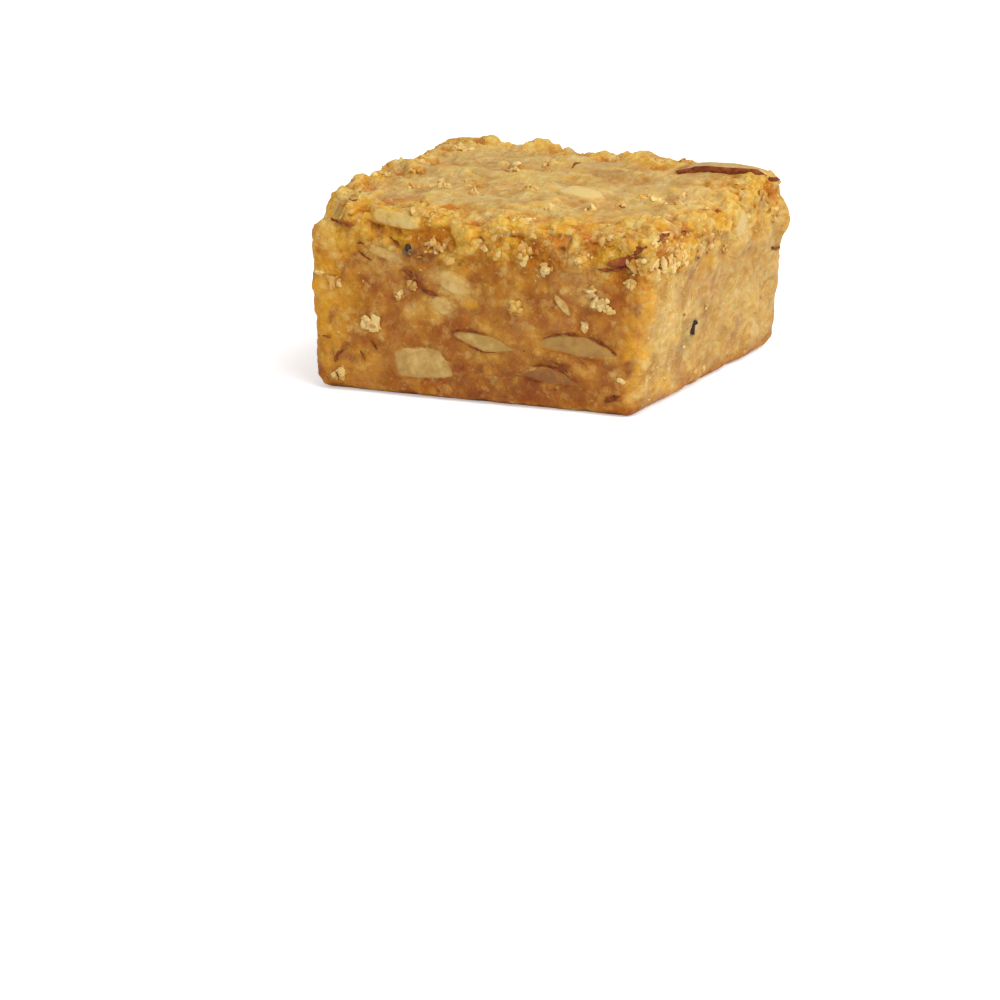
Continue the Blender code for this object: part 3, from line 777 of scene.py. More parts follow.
tree, shader = finish_of(slices, "almond flesh", weight=0.15, scale=0.3, specular=0.2, roughness=0.42)
place = places_on(tree)
mottled = worked_out(tree, "MULTIPLY_ADD", noise_of(tree, place, 1.1, 4, 11), 1.1, -0.55)
flesh_tone = worked_out(tree, "ADD", mask_of(tree, "flesh"), mottled)
flesh_layers = (
    (eased(tree, flesh_tone, -0.6, 0.1), FLESH_BROWN),
    (eased(tree, flesh_tone, 0.0, 0.55), FLESH_TAN),
    (eased(tree, flesh_tone, 0.5, 1.1), FLESH_PALE),
)
flesh_colour = layered(tree, FLESH_SKIN, flesh_layers)
drawn_over = worked_out(tree, "ADD", eased(tree, mask_of(tree, "rim"), 0.66, 0.95), mask_of(tree, "veil"))
torn = worked_out(tree, "MULTIPLY_ADD", noise_of(tree, place, 1.3, 3, 12), 1.2, drawn_over)
film = blended(tree, eased(tree, torn, 0.85, 1.35), flesh_colour, pressed_paste(tree)["Color"])
tree.links.new(film, shader.inputs["Base Color"])
bumped(tree, shader, noise_of(tree, place, 0.5, 4, 13), strength=0.6, depth=0.12)

# The almond skins: thin red-brown skin left on the rims of some slices, and loose shreds of it.
# Each is a ribbon along a slice's outline or between two places, thinning out to its ends.
Skin = namedtuple("Skin", "almond first last width tall out", defaults=(0.12, 0.90))
SLICE_SKINS = (
    Skin(1, 85, 165, 0.22),
    Skin(1, 235, 300, 0.16),
    Skin(1, 165, 200, 0.20),
    Skin(2, 12, 68, 0.40, 0.14),
    Skin(2, 80, 150, 0.15),
    Skin(3, 20, 140, 0.26, 0.13),
    Skin(3, 200, 250, 0.18),
    Skin(7, 60, 140, 0.20),
    Skin(10, 196, 350, 0.40, 0.52, 1.01),
)
Shred = namedtuple("Shred", "side start end bulge width tall", defaults=(0.12,))
SHREDS = (
    Shred("front", (18.6, 19.3), (21.7, 21.2), 0.15, 0.5, 0.2),
    Shred("right", (-20.6, 21.4), (-16.5, 21.6), 0.2, 0.5, 0.25),
    Shred("front", (15.0, 17.9), (18.8, 18.1), -0.2, 0.5, 0.2),
    Shred("front", (8.8, 6.3), (11.4, 4.6), 0.25, 0.26),
    Shred("front", (-20.4, 21.3), (-15.7, 20.3), -0.2, 0.55, 0.3),
    Shred("front", (-11.4, 19.6), (-10.4, 18.4), 0.05, 0.30),
    Shred("front", (-15.7, 18.4), (-14.5, 18.5), 0.05, 0.22),
    Shred("front", (-15.6, 17.6), (-13.9, 16.5), -0.1, 0.26),
    Shred("front", (-20.6, 6.6), (-19.4, 6.4), 0.1, 0.26),
    Shred("front", (-18.9, 3.4), (-17.7, 5.1), 0.4, 0.36),
    Shred("front", (-15.7, 5.2), (-14.9, 4.1), 0.1, 0.26),
    Shred("front", (-14.4, 6.5), (-13.4, 5.6), 0.1, 0.22),
    Shred("front", (-7.6, 13.7), (-5.2, 12.8), -0.2, 0.45),
    Shred("front", (-9.9, 15.6), (-8.5, 14.8), 0.2, 0.50),
    Shred("front", (16.0, 1.8), (17.9, 2.6), 0.2, 0.70),
    Shred("right", (16.8, 13.6), (20.6, 12.7), -0.2, 0.40),
    Shred("right", (-11.8, 20.6), (-9.6, 20.5), 0.2, 0.35),
    Shred("right", (-1.0, 21.5), (0.1, 20.8), 0.1, 0.65),
    Shred("right", (5.6, 20.6), (6.6, 20.9), 0.1, 0.35),
)
SKIN_STEPS, SKIN_AROUND = 22, 8
SKIN_CHANCE, SKIN_SPANS, SKIN_WIDTHS = 0.75, (50, 130), (0.2, 0.4)
SKIN_SPREAD, SKIN_LIFT = 0.35, 0.04
SKIN_WANDER, SKIN_UNEVEN, SKIN_BLUNTNESS = 0.02, (0.2, 1.6), 0.6
SKIN_DARK, SKIN_RED = (0.11, 0.020, 0.007), (0.34, 0.088, 0.020)


def near_frame(origin, axes, reach):
    """The block's points close to a frame's origin, in that frame."""
    local = (form - origin) @ axes.T
    return local[(np.linalg.norm(local, axis=1) < reach) & (outward @ axes[2] > FACING_ALIKE)]


def ribbon_points(path, row, origin, axes, reach):
    """Rings of a flattened tube along a path, in a frame on the block, thinning out to its ends."""
    path = path + SKIN_WANDER * np.cumsum(shape_draw.normal(size=path.shape), axis=0)
    lying = height_there(path, near_frame(origin, axes, reach), SKIN_SPREAD)
    centre = np.column_stack([path, lying + SKIN_LIFT + row.tall / 2])
    step = np.gradient(path, axis=0)
    step /= np.linalg.norm(step, axis=1, keepdims=True)
    across = np.column_stack([-step[:, 1], step[:, 0], np.zeros(len(path))])
    uneven = np.convolve(shape_draw.uniform(*SKIN_UNEVEN, len(path) + 2), np.ones(3) / 3, "valid")
    fullness = np.sin(np.pi * np.linspace(0, 1, len(path))) ** SKIN_BLUNTNESS * uneven
    angles = -np.linspace(0, 2 * np.pi, SKIN_AROUND, endpoint=False)
    half_width = (fullness * row.width / 2)[1:-1, None, None]
    rings = centre[1:-1, None] + half_width * np.cos(angles)[:, None] * across[1:-1, None]
    rings[:, :, 2] += fullness[1:-1, None] * row.tall * np.sin(angles)
    return origin + np.concatenate([centre[:1], rings.reshape(-1, 3), centre[-1:]]) @ axes


form -= outward * bed[:, None]
skin_rows = list(SLICE_SKINS)
for number in range(len(PLACED_SLICES), len(almonds)):
    if shape_draw.random() < SKIN_CHANCE:
        first = shape_draw.uniform(0, 360)
        last = first + shape_draw.uniform(*SKIN_SPANS)
        skin_rows.append(Skin(number, first, last, shape_draw.uniform(*SKIN_WIDTHS)))
skin_parts = []
for skin in skin_rows:
    almond = almonds[skin.almond]
    origin, axes = frame_on(almond.side, almond.across, almond.up, almond.turn, almond.length / 2)
    angles = np.radians(np.linspace(skin.first, skin.last, SKIN_STEPS))
    u, v = skin.out * squared_circle(angles, almond.squareness)
    path = np.stack(slice_outline(u, v, almond), axis=1)
    skin_parts.append(ribbon_points(path, skin, origin, axes, almond.length / 2 + SLICE_MARGIN))
for shred in SHREDS:
    start, end = np.array(shred.start), np.array(shred.end)
    run = end - start
    length = np.linalg.norm(run)
    origin, axes = frame_on(shred.side, *(start + end) / 2, 0, max(2.0, length / 2))
    along = np.linspace(0, 1, SKIN_STEPS)[:, None]
    aside = np.array((-run[1], run[0])) / length
    path = (along - 0.5) * run + shred.bulge * 4 * along * (1 - along) * aside
    skin_parts.append(ribbon_points(path, shred, origin, axes, length / 2 + SLICE_MARGIN))
faces = ring_faces(SKIN_STEPS - 2, SKIN_AROUND, len(skin_parts))
skins = new_piece("almond_skins", np.concatenate(skin_parts), faces)

tree, shader = finish_of(skins, "almond skin", weight=0.1, scale=0.5, specular=0.12, roughness=0.6)
place = places_on(tree)
reddened = eased(tree, noise_of(tree, place, 0.8, 3, 21), 0.3, 0.7)
tree.links.new(blended(tree, reddened, SKIN_DARK, SKIN_RED), shader.inputs["Base Color"])
bumped(tree, shader, noise_of(tree, place, 0.3, 2, 22), strength=0.3, depth=0.05)

# The paste in place: one closed skin over the whole block, with its beds under the slices.
# Patches of it are golden, paler, reddened by almond skin or greyed by cardamom. Its hollows and
# the foot of its front are painted darker as painted shade, and its rounded vertical edges brighter,
# partly as painted light.
Patch = namedtuple("Patch", "side across up length breadth strength turn", defaults=(0,))
PATCHES = {
    "gold": (
        Patch("front", -16.5, 10.5, 7.0, 6.0, 0.5),
        Patch("front", -12.5, 16.6, 9.0, 5.0, 0.8),
        Patch("front", 12.3, 19.2, 6.5, 3.2, 0.8),
        Patch("front", 3.0, 16.8, 34.0, 6.0, 0.4),
        # This wide patch by the left edge also brightens that edge: partly its golden tone, partly
        # painted light
        Patch("front", -18.5, 12.0, 9.0, 14.0, 0.6),
        Patch("front", 14.5, 12.5, 7.0, 4.0, 0.4, 60),
        Patch("front", -1.0, 12.3, 1.8, 1.4, 1.0),
        Patch("right", 14.0, 16.5, 12.0, 5.0, 0.35),
        Patch("right", -14.0, 3.0, 7.0, 4.0, 0.7),
        Patch("right", -4.5, 15.5, 7.0, 3.5, 0.6),
        Patch("top", -5.9, -17.0, 3.0, 2.4, 1.0),
        Patch("top", -6.3, 4.4, 5.0, 3.6, 0.9, 10),
        Patch("top", 1.5, 3.6, 4.0, 3.0, 0.7),
        Patch("top", -3.6, 12.9, 3.6, 3.4, 0.8),
        Patch("top", 16.2, 9.6, 3.4, 2.6, 0.7),
        Patch("top", 6.8, -11.2, 3.0, 2.4, 0.8),
        Patch("top", -13.8, -9.3, 2.2, 1.6, 1.0),
        Patch("top", 12.5, -12.5, 8.0, 6.0, 0.7),
    ),
    # Golden strips down the rounded vertical edges, brighter than the faces beside them: partly the
    # paste's own tone, partly painted light
    "honey": (
        Patch("front", -18.0, 5.0, 7.0, 8.0, 0.45, 20),
        Patch("front", -20.8, 13.0, 5.5, 17.0, 0.8),
        Patch("front", -18.5, 17.5, 7.0, 7.0, 0.85),
        Patch("front", 21.3, 9.5, 3.0, 19.0, 0.8),
        Patch("right", -21.4, 9.0, 4.0, 16.0, 0.8),
        Patch("right", 20.9, 12.0, 3.0, 14.0, 0.6),
    ),
    "cream": (
        Patch("front", -3.2, 14.4, 7.5, 4.0, 0.7, -19),
        Patch("front", -4.9, 11.8, 4.6, 3.0, 0.65, -25),
        Patch("front", -11.9, 17.4, 7.0, 2.6, 0.6, -18),
        Patch("front", 4.6, 12.6, 3.5, 2.5, 0.3),
        Patch("front", -20.0, 13.6, 3.0, 3.0, 0.4),
        Patch("front", -20.2, 18.8, 4.4, 3.4, 0.6, -20),
        Patch("front", -12.8, 15.8, 7.0, 4.0, 0.3),
        Patch("front", 11.5, 19.6, 5.0, 3.0, 0.55),
        Patch("front", 13.0, 16.0, 8.0, 5.0, 0.35),
        Patch("right", -14.0, 10.0, 8.0, 16.0, 0.75),
        Patch("right", -14.0, 12.5, 9.0, 10.0, 0.45),
        Patch("right", 8.0, 11.0, 9.0, 5.0, 0.3, 30),
        Patch("right", 6.5, 18.0, 11.0, 5.0, 0.8, -8),
        Patch("right", 17.5, 17.5, 7.0, 5.0, 0.5),
        Patch("right", 13.5, 5.5, 13.0, 8.0, 0.65),
        Patch("top", -8.8, 5.4, 4.0, 2.0, 0.7),
        Patch("top", 6.8, -5.6, 9.0, 5.0, 0.85, -14),
        Patch("top", -0.5, -4.0, 4.0, 3.0, 0.5),
        Patch("top", -6.0, -3.0, 15.0, 8.0, 0.3),
        Patch("top", 11.5, 12.0, 9.0, 7.0, 0.55),
        Patch("top", 18.8, 3.0, 5.5, 24.0, 0.55),
        Patch("top", -12.0, 18.0, 10.0, 5.0, 0.55),
        Patch("top", 11.0, 1.0, 12.0, 11.0, 0.35),
    ),
    "stain": (
        Patch("front", -8.5, 14.6, 4.2, 2.6, 0.75, -30),
        Patch("front", -6.2, 13.0, 3.4, 1.4, 0.6, -20),
        Patch("front", -17.0, 5.2, 6.5, 4.0, 0.18, 20),
        Patch("front", 10.2, 5.6, 7.5, 1.8, 0.7, -22),
        Patch("front", 12.6, 9.2, 9.5, 1.5, 0.55, -3),
        Patch("front", -3.4, 8.8, 4.0, 2.2, 0.5, -10),
        Patch("front", 18.6, 18.7, 6.8, 2.4, 0.95, 20),
        Patch("front", 19.6, 17.5, 3.5, 1.8, 0.7, 30),
        Patch("front", -7.4, 17.9, 3.8, 2.6, 0.8),
        Patch("front", -7.9, 17.9, 2.6, 2.0, 0.6),
        Patch("front", 9.7, 13.4, 1.3, 3.6, 0.6, -20),
        Patch("front", 17.8, 9.3, 4.0, 6.0, 0.25),
        Patch("front", 16.8, 2.2, 3.4, 2.0, 0.8),
        # Painted shade: these broad low patches darken the foot of the front
        Patch("front", 1.0, 3.0, 20.0, 5.5, 0.65),
        Patch("front", 11.0, 2.0, 16.0, 3.5, 0.4),
        Patch("front", 6.0, 6.2, 9.0, 3.0, 0.4, -10),
        Patch("front", 3.5, 10.5, 8.0, 3.0, 0.3),
        Patch("right", -10.5, 6.0, 4.5, 5.0, 0.22),
        Patch("right", -11.0, 13.0, 5.0, 4.0, 0.22),
        Patch("right", -13.0, 6.0, 5.0, 2.0, 0.25, 70),
        Patch("right", -2.0, 10.0, 2.0, 9.0, 0.25, -20),
        Patch("right", 8.0, 5.0, 3.0, 8.0, 0.25, -30),
        Patch("right", 6.5, 11.5, 8.0, 7.0, 0.14),
    ),
    "grey": (
        Patch("front", -8.9, 18.3, 1.9, 1.7, 0.75),
        Patch("right", -8.0, 7.4, 6.5, 6.0, 0.32, 10),
        Patch("right", -6.2, 8.3, 2.2, 3.4, 0.45),
    ),
    # Painted shade: these patches lie in the hollows of the sunken knobs and lay the darker pit colour
    # into them
    "hollow": (
        Patch("front", 13.6, 21.6, 3.6, 2.8, 1.0),
        Patch("front", -5.4, 22.4, 2.0, 1.4, 0.9),
        Patch("right", -18.9, 18.5, 2.2, 1.8, 0.9),
        Patch("top", 11.5, -18.5, 4.0, 2.0, 0.9, 20),
        Patch("top", -5.9, -17.0, 3.4, 2.2, 0.9),
        Patch("top", -6.3, 4.4, 4.0, 2.4, 0.8, 10),
        Patch("top", 16.2, 9.6, 3.0, 2.0, 0.7),
        Patch("top", 6.8, -11.2, 2.6, 1.8, 0.7),
    ),
}
PATCH_WARP_SIZE, PATCH_WARP = 1.5, 0.6
PATCH_DEPTH, PATCH_SOFTNESS = 3, (0.45, 1.15)
STREWN_SPOTS = {
    "right": (34, (-21, 2), (-4, 19)),
    "front": (14, (-20, 3), (19, 17)),
    "top": (18, (-17, -17), (17, 17)),
    "back": (14, (-19, 2), (19, 19)),
    "left": (14, (-19, 2), (19, 19)),
}
SPOT_SIZES, SPOT_STRETCH, SPOT_STRENGTH = (0.8, 1.8), (1.0, 1.8), 0.7
# Up and towards the lamp's side: the top and the right cut get the painted sheen and light
DRY_WAY = (0.76, -0.1, 1.0)
SUNKEN_AT, RAISED_AT = (0.06, 0.45), (0.06, 0.40)


def strewn_spots(draw):
    """Small pale spots at random, most of them by the right cut's front edge."""
    spots = []
    for side, (count, low, high) in STREWN_SPOTS.items():
        for _ in range(count):
            size = draw.uniform(*SPOT_SIZES)
            long = size * draw.uniform(*SPOT_STRETCH)
            spots.append(Patch(side, *draw.uniform(low, high), long, size, SPOT_STRENGTH))
    return spots


def patch_mask(patches):
    """Where the paste has such patches: ellipses with soft edges, pushed out of shape."""
    pushed = pushed_aside(form, PATCH_WARP_SIZE, PATCH_WARP, SEED + 70)
    mask = np.zeros(len(form))
    for patch in patches:
        reach = max(patch.length, patch.breadth) / 2
        origin, axes = frame_on(patch.side, patch.across, patch.up, patch.turn, reach)
        local = (pushed - origin) @ axes.T / (patch.length / 2, patch.breadth / 2, PATCH_DEPTH)
        away = np.where(outward @ axes[2] > 0, np.linalg.norm(local, axis=1), np.inf)
        mask = np.maximum(mask, patch.strength * (1 - smooth_step(away, *PATCH_SOFTNESS)))
    return mask


masks = {kind: patch_mask(patches) for kind, patches in PATCHES.items()}
spots = strewn_spots(np.random.default_rng(SEED + 3))
masks["cream"] = np.maximum(masks["cream"], patch_mask(spots))
# Painted shade: the sunken relief and the hollow patches are painted darker and redder
sunken = smooth_step(-fine_relief, *SUNKEN_AT) * (0.5 + 0.5 * rough)
masks["pit"] = np.maximum(sunken, masks.pop("hollow"))
# Painted light: the raised relief is painted paler
masks["peak"] = smooth_step(fine_relief, *RAISED_AT)
masks["crumbled"] = rough
masks["tone"] = tone
# Painted sheen and light on the faces turned up and to the lamp, beside the drier top
masks["dry"] = np.clip(outward @ DRY_WAY, 0, 1)
block = new_piece("fudge_block", form, block_faces, masks)
for mask, values in masks.items():
    add_mask(slices.data, mask, values[under_film])

tree, shader = finish_of(block, "fudge", weight=0.45, scale=1.2, specular=0.16)
pressed = pressed_paste(tree)
tree.links.new(pressed["Color"], shader.inputs["Base Color"])
tree.links.new(pressed["Roughness"], shader.inputs["Roughness"])
bumped(tree, shader, pressed["Height"], strength=0.85, depth=0.30)

# The crumbs: the same paste broken loose. Clumps cling to the faces where the clumps of the solid
# are, dense grains cover the torn edges, and fine grains lie scattered over every side.
Clump = namedtuple("Clump", "side across up size tint", defaults=(0.62,))
PLACED_CLUMPS = (
    Clump("front", -13.9, 8.9, 3.4),
    Clump("front", -19.0, 13.4, 2.6, 0.45),
    Clump("front", -20.4, 14.6, 1.8),
    Clump("front", 8.7, 17.2, 2.1),
    Clump("front", 15.4, 13.7, 2.6),
    Clump("front", 14.1, 14.9, 2.2),
    Clump("front", 16.7, 12.9, 1.8),
    Clump("front", 19.1, 16.2, 1.9),
    Clump("front", 19.0, 21.0, 3.6, 0.35),
    Clump("front", 13.5, 10.6, 1.8),
    Clump("front", -10.5, 12.5, 1.8, 0.3),
    Clump("front", -8.8, 13.8, 1.8, 0.4),
    Clump("front", 4.6, 12.3, 2.4, 0.15),
    Clump("front", -18.4, 2.2, 2.4, 0.35),
    Clump("right", -16.3, 18.2, 3.0),
    Clump("right", -13.3, 18.4, 2.6),
    Clump("top", -13.7, -9.4, 2.0, 0.1),
    Clump("top", -0.8, -3.7, 2.4),
    Clump("top", -6.3, 3.7, 3.2),
    Clump("top", -10.6, -8.5, 2.6, 0.9),
    Clump("top", -6.0, -8.6, 1.6, 0.9),
    Clump("top", -9.2, -3.9, 1.3),
    Clump("top", -3.8, 9.4, 2.2),
    Clump("top", -21.0, -4.6, 1.3),
    Clump("top", -19.8, -4.2, 1.5, 0.8),
    Clump("top", -17.3, 13.3, 2.8, 0.8),
    Clump("top", 9.6, -10.4, 1.6),
    Clump("top", 5.6, -13.1, 1.7),
    Clump("top", 15.4, -2.7, 2.4),
    Clump("top", 16.8, 2.0, 2.0),
    Clump("front", 0.8, 19.3, 1.3),
    Clump("front", 8.6, 17.0, 1.5),
    Clump("front", 18.2, 4.4, 0.9),
    Clump("right", -4.5, 2.3, 1.0),
    Clump("right", -1.3, 2.0, 1.0),
    Clump("right", -8.6, 6.2, 0.9),
    Clump("right", -3.0, 9.9, 1.3),
    Clump("right", -20.4, 18.8, 2.4),
    Clump("right", -18.4, 18.2, 2.8),
    Clump("right", -14.8, 18.2, 2.6),
    Clump("front", 20.9, 19.2, 1.8),
)
STREWN_CLUMPS = {
    "front": (7, (-20, 18), (20, 21)),
    "right": (8, (-20, 16), (20, 21)),
    "back": (9, (-20, 17), (20, 22)),
    "left": (9, (-20, 17), (20, 22)),
    "top": (10, (-19, -19), (19, 19)),
}
STREWN_SIZES, STREWN_TINT = (1.5, 3.0), 0.2
CLUMP_GRAINS, CLUMP_CROWDING = 3.0, 1.7
CLUMP_CORE, CLUMP_SPREAD, CLUMP_THICKNESS = 0.62, (0.40, 0.32), 0.18
CLUMP_GRAIN_SIZES, CLUMP_GROWTH = (0.45, 1.3), (0.75, 0.1)
CLUMP_TINT_SPREAD = 0.34
CORE_LIFT = 0.05
FLAKE_FLATNESS = 0.6
GRAIN_CUTS, GRAIN_CUT_FROM = 9, (0.25, 0.75)
GRAIN_DENTS, GRAIN_STRETCH = (0.89, 1.11), (0.75, 1.3)
SHARP_EDGE = 0.6
CRUMB_PALE = (0.90, 0.69, 0.29)


def strewn_clumps(draw):
    """Clumps drawn at random, most of them near the top edges."""
    drawn = []
    for side, (count, low, high) in STREWN_CLUMPS.items():
        for _ in range(count):
            place = draw.uniform(low, high)
            drawn.append(Clump(side, *place, draw.uniform(*STREWN_SIZES), STREWN_TINT))
    return drawn


def grain_points(places, outs, sizes, flatness, fineness, draw):
    """Broken grains: balls of few faces, cut by random planes, dented, stretched, pressed flat along
    the outward directions and set at places."""
    ball = bmesh.new()
    bmesh.ops.create_icosphere(ball, subdivisions=fineness, radius=1)
    corners = np.array([corner.co for corner in ball.verts])
    faces = np.array([[corner.index for corner in face.verts] for face in ball.faces])
    ball.free()
    grains = np.repeat(corners[None], len(places), axis=0)
    for _ in range(GRAIN_CUTS):
        normal = draw.normal(size=(len(places), 3))
        normal /= np.linalg.norm(normal, axis=1, keepdims=True)
        past = np.einsum("nvc,nc->nv", grains, normal) - draw.uniform(*GRAIN_CUT_FROM, (len(places), 1))
        grains -= 0.9 * np.clip(past, 0, None)[:, :, None] * normal[:, None, :]
    grains *= draw.uniform(*GRAIN_DENTS, grains.shape[:2])[:, :, None]
    grains *= draw.uniform(*GRAIN_STRETCH, (len(places), 1, 3)) * (sizes / 2)[:, None, None]
    thickness = np.einsum("nvc,nc->nv", grains, outs)
    grains -= ((1 - flatness) * thickness.T).T[:, :, None] * outs[:, None, :]
    points = (grains + places[:, None, :]).reshape(-1, 3)
    numbers = faces[None] + (np.arange(len(places)) * len(corners))[:, None, None]
    return points, numbers.reshape(-1, 3).tolist(), len(corners)


def new_crumbs(name, places, outs, sizes, tints, flatness, fineness):
    """A piece of broken grains, with sharp edges and a tint for each grain."""
    points, faces, corners = grain_points(places, outs, sizes, flatness, fineness, crumb_draw)
    piece = new_piece(name, points, faces, {"tint": np.repeat(tints, corners)})
    piece.data.set_sharp_from_angle(angle=SHARP_EDGE)
    return piece


crumb_draw = np.random.default_rng(SEED + 2)
clump_rows = []
for clump in PLACED_CLUMPS + tuple(strewn_clumps(draw)):
    origin, axes = frame_on(clump.side, clump.across, clump.up, 0, clump.size)
    count = int(CLUMP_GRAINS * clump.size**CLUMP_CROWDING)
    away = np.sqrt(crumb_draw.random(count))
    angle = crumb_draw.uniform(0, 2 * np.pi, count)
    spot = (away * clump.size * np.array([np.cos(angle), np.sin(angle)])).T * CLUMP_SPREAD
    lying = height_there(spot, near_frame(origin, axes, clump.size + 2), SKIN_SPREAD)
    raised = lying + crumb_draw.uniform(0, 1, count) * (1 - away**2) * CLUMP_THICKNESS * clump.size
    spot[0], raised[0] = 0, lying[0] + CORE_LIFT
    growth = CLUMP_GROWTH[0] + CLUMP_GROWTH[1] * clump.size
    sizes = growth * crumb_draw.uniform(*CLUMP_GRAIN_SIZES, count)
    sizes[0] = CLUMP_CORE * clump.size
    tints = np.clip(crumb_draw.normal(clump.tint, CLUMP_TINT_SPREAD, count), 0, 1)
    flatness = np.full(count, 1.0 if clump.side == "top" else FLAKE_FLATNESS)
    places = origin + np.column_stack([spot, raised]) @ axes
    clump_rows.append((places, np.tile(axes[2], (count, 1)), sizes, tints, flatness))
clump_grains = (np.concatenate(column) for column in zip(*clump_rows))
clumps = new_crumbs("crumb_clumps", *clump_grains, 2)

# A scatter's lift is how far its grains stand off the paste, of their own size
Scatter = namedtuple("Scatter", "name count sizes smallness lift tint tint_spread flatness fineness")
EDGE_CRUMBS = Scatter(
    "edge_crumbs",
    count=520,
    sizes=(0.45, 1.7),
    smallness=2.2,
    lift=(-0.3, -0.1),
    tint=0.28,
    tint_spread=0.30,
    flatness=0.7,
    fineness=2,
)
FINE_CRUMBS = Scatter(
    "fine_crumbs",
    count=560,
    sizes=(0.25, 0.65),
    smallness=2,
    lift=-0.1,
    tint=0.65,
    tint_spread=0.25,
    flatness=0.8,
    fineness=1,
)
BARE_FOOT_AT = (1.0, 4.0)
BUNCH_SIZE, BUNCH_AT = 3.2, (-0.3, 0.5)
GRANULAR_PLACE, GRANULAR_WIDTH, GRANULAR_GAIN = -15, 5, 5


def scattered(kind, weight):
    """Grains at block points drawn at random by weight, most of them small."""
    chosen = crumb_draw.choice(len(weight), kind.count, p=weight / weight.sum())
    smallest, largest = kind.sizes
    sizes = smallest + (largest - smallest) * crumb_draw.random(kind.count) ** kind.smallness
    lift = crumb_draw.uniform(*kind.lift, kind.count) if np.ndim(kind.lift) else kind.lift
    places = form[chosen] + outward[chosen] * (lift * sizes)[:, None]
    tints = np.clip(crumb_draw.normal(kind.tint, kind.tint_spread, kind.count), 0, 1)
    outs = outward[chosen]
    return new_crumbs(kind.name, places, outs, sizes, tints, kind.flatness, kind.fineness)


# Grains gather in bunches, the fine ones mostly on the top and by the front edge of the right cut
free = smooth_step(form[:, 2], *BARE_FOOT_AT) * (1 - near_slice)
bunched = smooth_step(smooth_noise(form, BUNCH_SIZE, SEED + 95), *BUNCH_AT)
upward = 0.35 + 0.65 * np.clip(outward[:, 2], 0, 1)
granular = np.exp(-(((form[:, 1] - GRANULAR_PLACE) / GRANULAR_WIDTH) ** 2)) * (outward[:, 0] > 0.5)
edge_crumbs = scattered(EDGE_CRUMBS, free * rough**2 * (0.15 + bunched))
fine_crumbs = scattered(FINE_CRUMBS, free * (upward * (0.1 + bunched + rough) + GRANULAR_GAIN * granular))

tree, shader = finish_of(clumps, "crumb", weight=0.1, scale=0.2, specular=0.3)
tint = mask_of(tree, "tint")
inputs = {"Crumbled": 0.8, "Dry": 0.2, "Peak": product(tree, tint, 0.6)}
broken = add_node(tree, "ShaderNodeGroup", inputs, node_tree=paste).outputs
crumb_colour = blended(tree, product(tree, tint, 0.75), broken["Color"], CRUMB_PALE)
tree.links.new(crumb_colour, shader.inputs["Base Color"])
tree.links.new(broken["Roughness"], shader.inputs["Roughness"])
bumped(tree, shader, broken["Height"], strength=0.5, depth=0.1)
for piece in (edge_crumbs, fine_crumbs):
    piece.data.materials.append(clumps.data.materials[0])

# The spice specks: bits of dark cardamom seed, ground with the nuts. They lie pressed into the paste.
# Each is one broken grain, set almost flush.
Speck = namedtuple("Speck", "side across up size")
PLACED_SPECKS = (
    Speck("front", -8.8, 18.5, 1.2),
    Speck("right", -6.3, 8.0, 1.6),
    Speck("right", -6.1, 8.8, 1.0),
    Speck("right", -2.8, 9.9, 0.45),
    Speck("front", 9.6, 2.7, 0.35),
    Speck("front", 5.8, 7.2, 0.30),
    Speck("top", -4.0, 5.5, 0.5),
)
STREWN_SPECKS = {"back": 5, "left": 5}
SPECK_RANGE, SPECK_SIZES = ((-18, 4), (18, 17)), (0.3, 0.9)
SPECK_PROUD, SPECK_FLATNESS = 0.05, 0.8
SEED_BLACK, SEED_BROWN = (0.030, 0.015, 0.012), (0.085, 0.044, 0.034)

speck_draw = np.random.default_rng(SEED + 4)
specks = list(PLACED_SPECKS)
for side, count in STREWN_SPECKS.items():
    for _ in range(count):
        specks.append(Speck(side, *speck_draw.uniform(*SPECK_RANGE), speck_draw.uniform(*SPECK_SIZES)))
speck_places, speck_outs = [], []
for speck in specks:
    origin, axes = frame_on(speck.side, speck.across, speck.up, 0, 2.0)
    lying = height_there(np.zeros((1, 2)), near_frame(origin, axes, 3.0), SKIN_SPREAD)[0]
    speck_places.append(origin + axes[2] * (lying + SPECK_PROUD * speck.size))
    speck_outs.append(axes[2])
speck_sizes = np.array([speck.size for speck in specks])
placed = (np.array(speck_places), np.array(speck_outs), speck_sizes)
points, faces, _ = grain_points(*placed, SPECK_FLATNESS, 2, speck_draw)
seeds = new_piece("spice_specks", points, faces)

tree, shader = finish_of(seeds, "cardamom seed", weight=0.0, scale=0.2, specular=0.10, roughness=0.6)
place = places_on(tree)
browned = eased(tree, noise_of(tree, place, 0.4, 3, 31), 0.35, 0.7)
tree.links.new(blended(tree, browned, SEED_BLACK, SEED_BROWN), shader.inputs["Base Color"])
bumped(tree, shader, noise_of(tree, place, 0.2, 3, 32), strength=0.6, depth=0.06)

# The studio: a white paper floor and an even white surround, with one large soft lamp to the right.
# Floor and surround look white to the camera, and light the sweet less brightly than they look.
FLOOR_HALF = 0.32
FLOOR_WHITE, FLOOR_GLOW = (0.95, 0.95, 0.95, 1), 0.42
SURROUND_LIGHT, SURROUND_LOOK = 0.55, 1.1
LAMP_PLACE, LAMP_AIM = Vector((0.40, -0.18, 0.55)), Vector((0, 0, 0.01))
LAMP_POWER, LAMP_SIZE = 4.2, 0.6

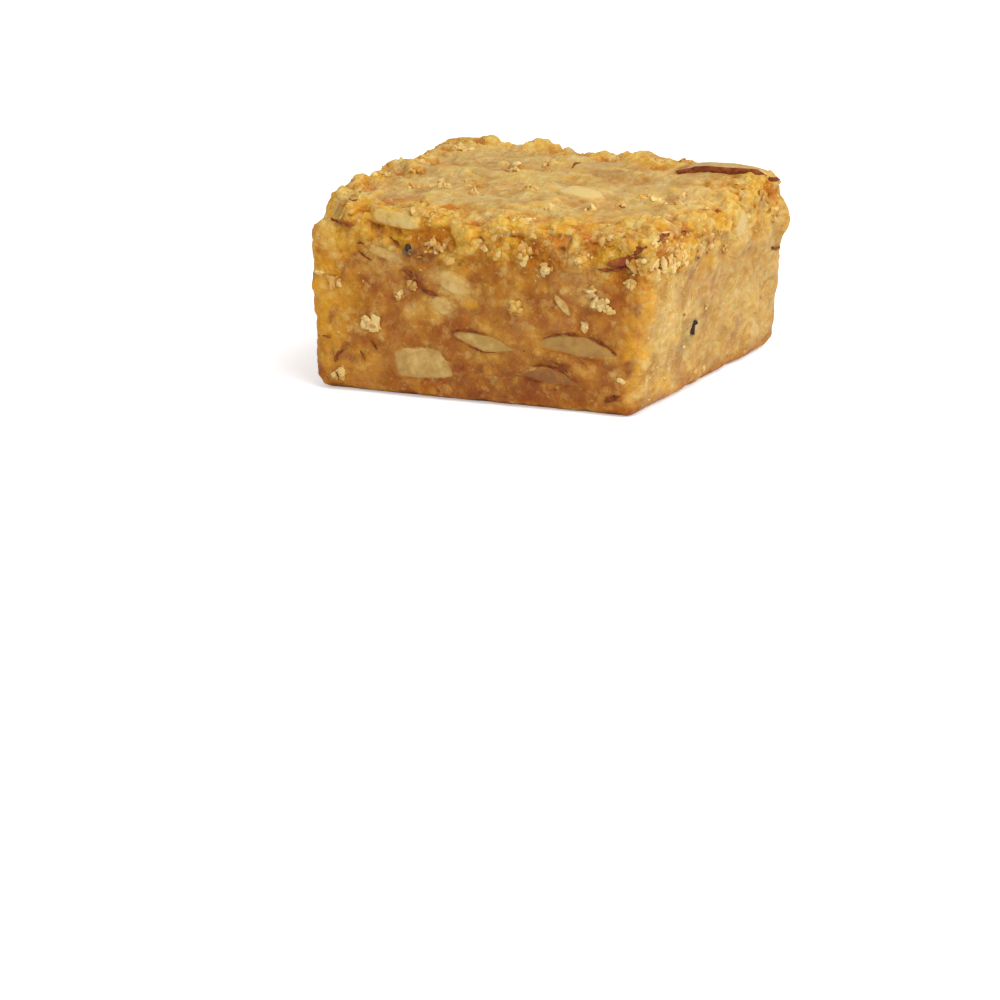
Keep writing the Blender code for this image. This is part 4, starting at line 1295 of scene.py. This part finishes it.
floor_mesh = bpy.data.meshes.new("floor")
floor_corners = [(x * FLOOR_HALF, y * FLOOR_HALF, 0) for x, y in ((-1, -1), (1, -1), (1, 1), (-1, 1))]
floor_mesh.from_pydata(floor_corners, [], [(0, 1, 2, 3)])
floor = bpy.data.objects.new("floor", floor_mesh)
bpy.context.scene.collection.objects.link(floor)
paper = bpy.data.materials.new("white paper")
paper.use_nodes = True
tree = paper.node_tree
shader = tree.nodes["Principled BSDF"]
shader.inputs["Base Color"].default_value = FLOOR_WHITE
shader.inputs["Roughness"].default_value = 0.9
shader.inputs["Emission Color"].default_value = (1, 1, 1, 1)
seen = add_node(tree, "ShaderNodeLightPath").outputs["Is Camera Ray"]
tree.links.new(product(tree, seen, FLOOR_GLOW), shader.inputs["Emission Strength"])
floor.data.materials.append(paper)

world = bpy.data.worlds.new("studio")
world.use_nodes = True
tree = world.node_tree
sky = tree.nodes["Background"]
sky.inputs["Color"].default_value = (1, 1, 1, 1)
seen = add_node(tree, "ShaderNodeLightPath").outputs["Is Camera Ray"]
tree.links.new(eased(tree, seen, 0, 1, SURROUND_LOOK, SURROUND_LIGHT), sky.inputs["Strength"])
bpy.context.scene.world = world
bpy.context.scene.view_settings.view_transform = "Standard"

lamp_data = bpy.data.lights.new("key", "AREA")
lamp_data.energy = LAMP_POWER
lamp_data.size = LAMP_SIZE
lamp = bpy.data.objects.new("key", lamp_data)
lamp.location = LAMP_PLACE
lamp.rotation_euler = (LAMP_AIM - LAMP_PLACE).to_track_quat("-Z", "Y").to_euler()
bpy.context.scene.collection.objects.link(lamp)

# The camera: it stands where the photo was taken from, a little above the top and to the right.
# It is turned aside so that the sweet lies where it does in the photo.
AZIMUTH, ELEVATION = np.radians(22.5), np.radians(12.4)
DISTANCE = 0.6
FOCAL_PIXELS, IMAGE_SIZE = 4900, 1000
AIM_PIXEL = (549, 277)
AIM = Vector((0, 0, 11.2 * MM))
level_back = Vector((np.sin(AZIMUTH), -np.cos(AZIMUTH), 0))
back = level_back * np.cos(ELEVATION) + Vector((0, 0, np.sin(ELEVATION)))
camera_data = bpy.data.cameras.new("camera")
camera_data.sensor_width = 36
camera_data.lens = FOCAL_PIXELS / IMAGE_SIZE * camera_data.sensor_width
camera = bpy.data.objects.new("camera", camera_data)
camera.location = AIM + back * DISTANCE
bpy.context.scene.collection.objects.link(camera)
aimed = (AIM - camera.location).to_track_quat("-Z", "Y").to_matrix()
right_of_middle = (AIM_PIXEL[0] - IMAGE_SIZE / 2) / FOCAL_PIXELS
above_middle = (IMAGE_SIZE / 2 - AIM_PIXEL[1]) / FOCAL_PIXELS
off_axis = Vector((right_of_middle, above_middle, -1))
turn = off_axis.rotation_difference(Vector((0, 0, -1))).to_matrix()
camera.rotation_euler = (aimed @ turn).to_euler()
bpy.context.scene.camera = camera
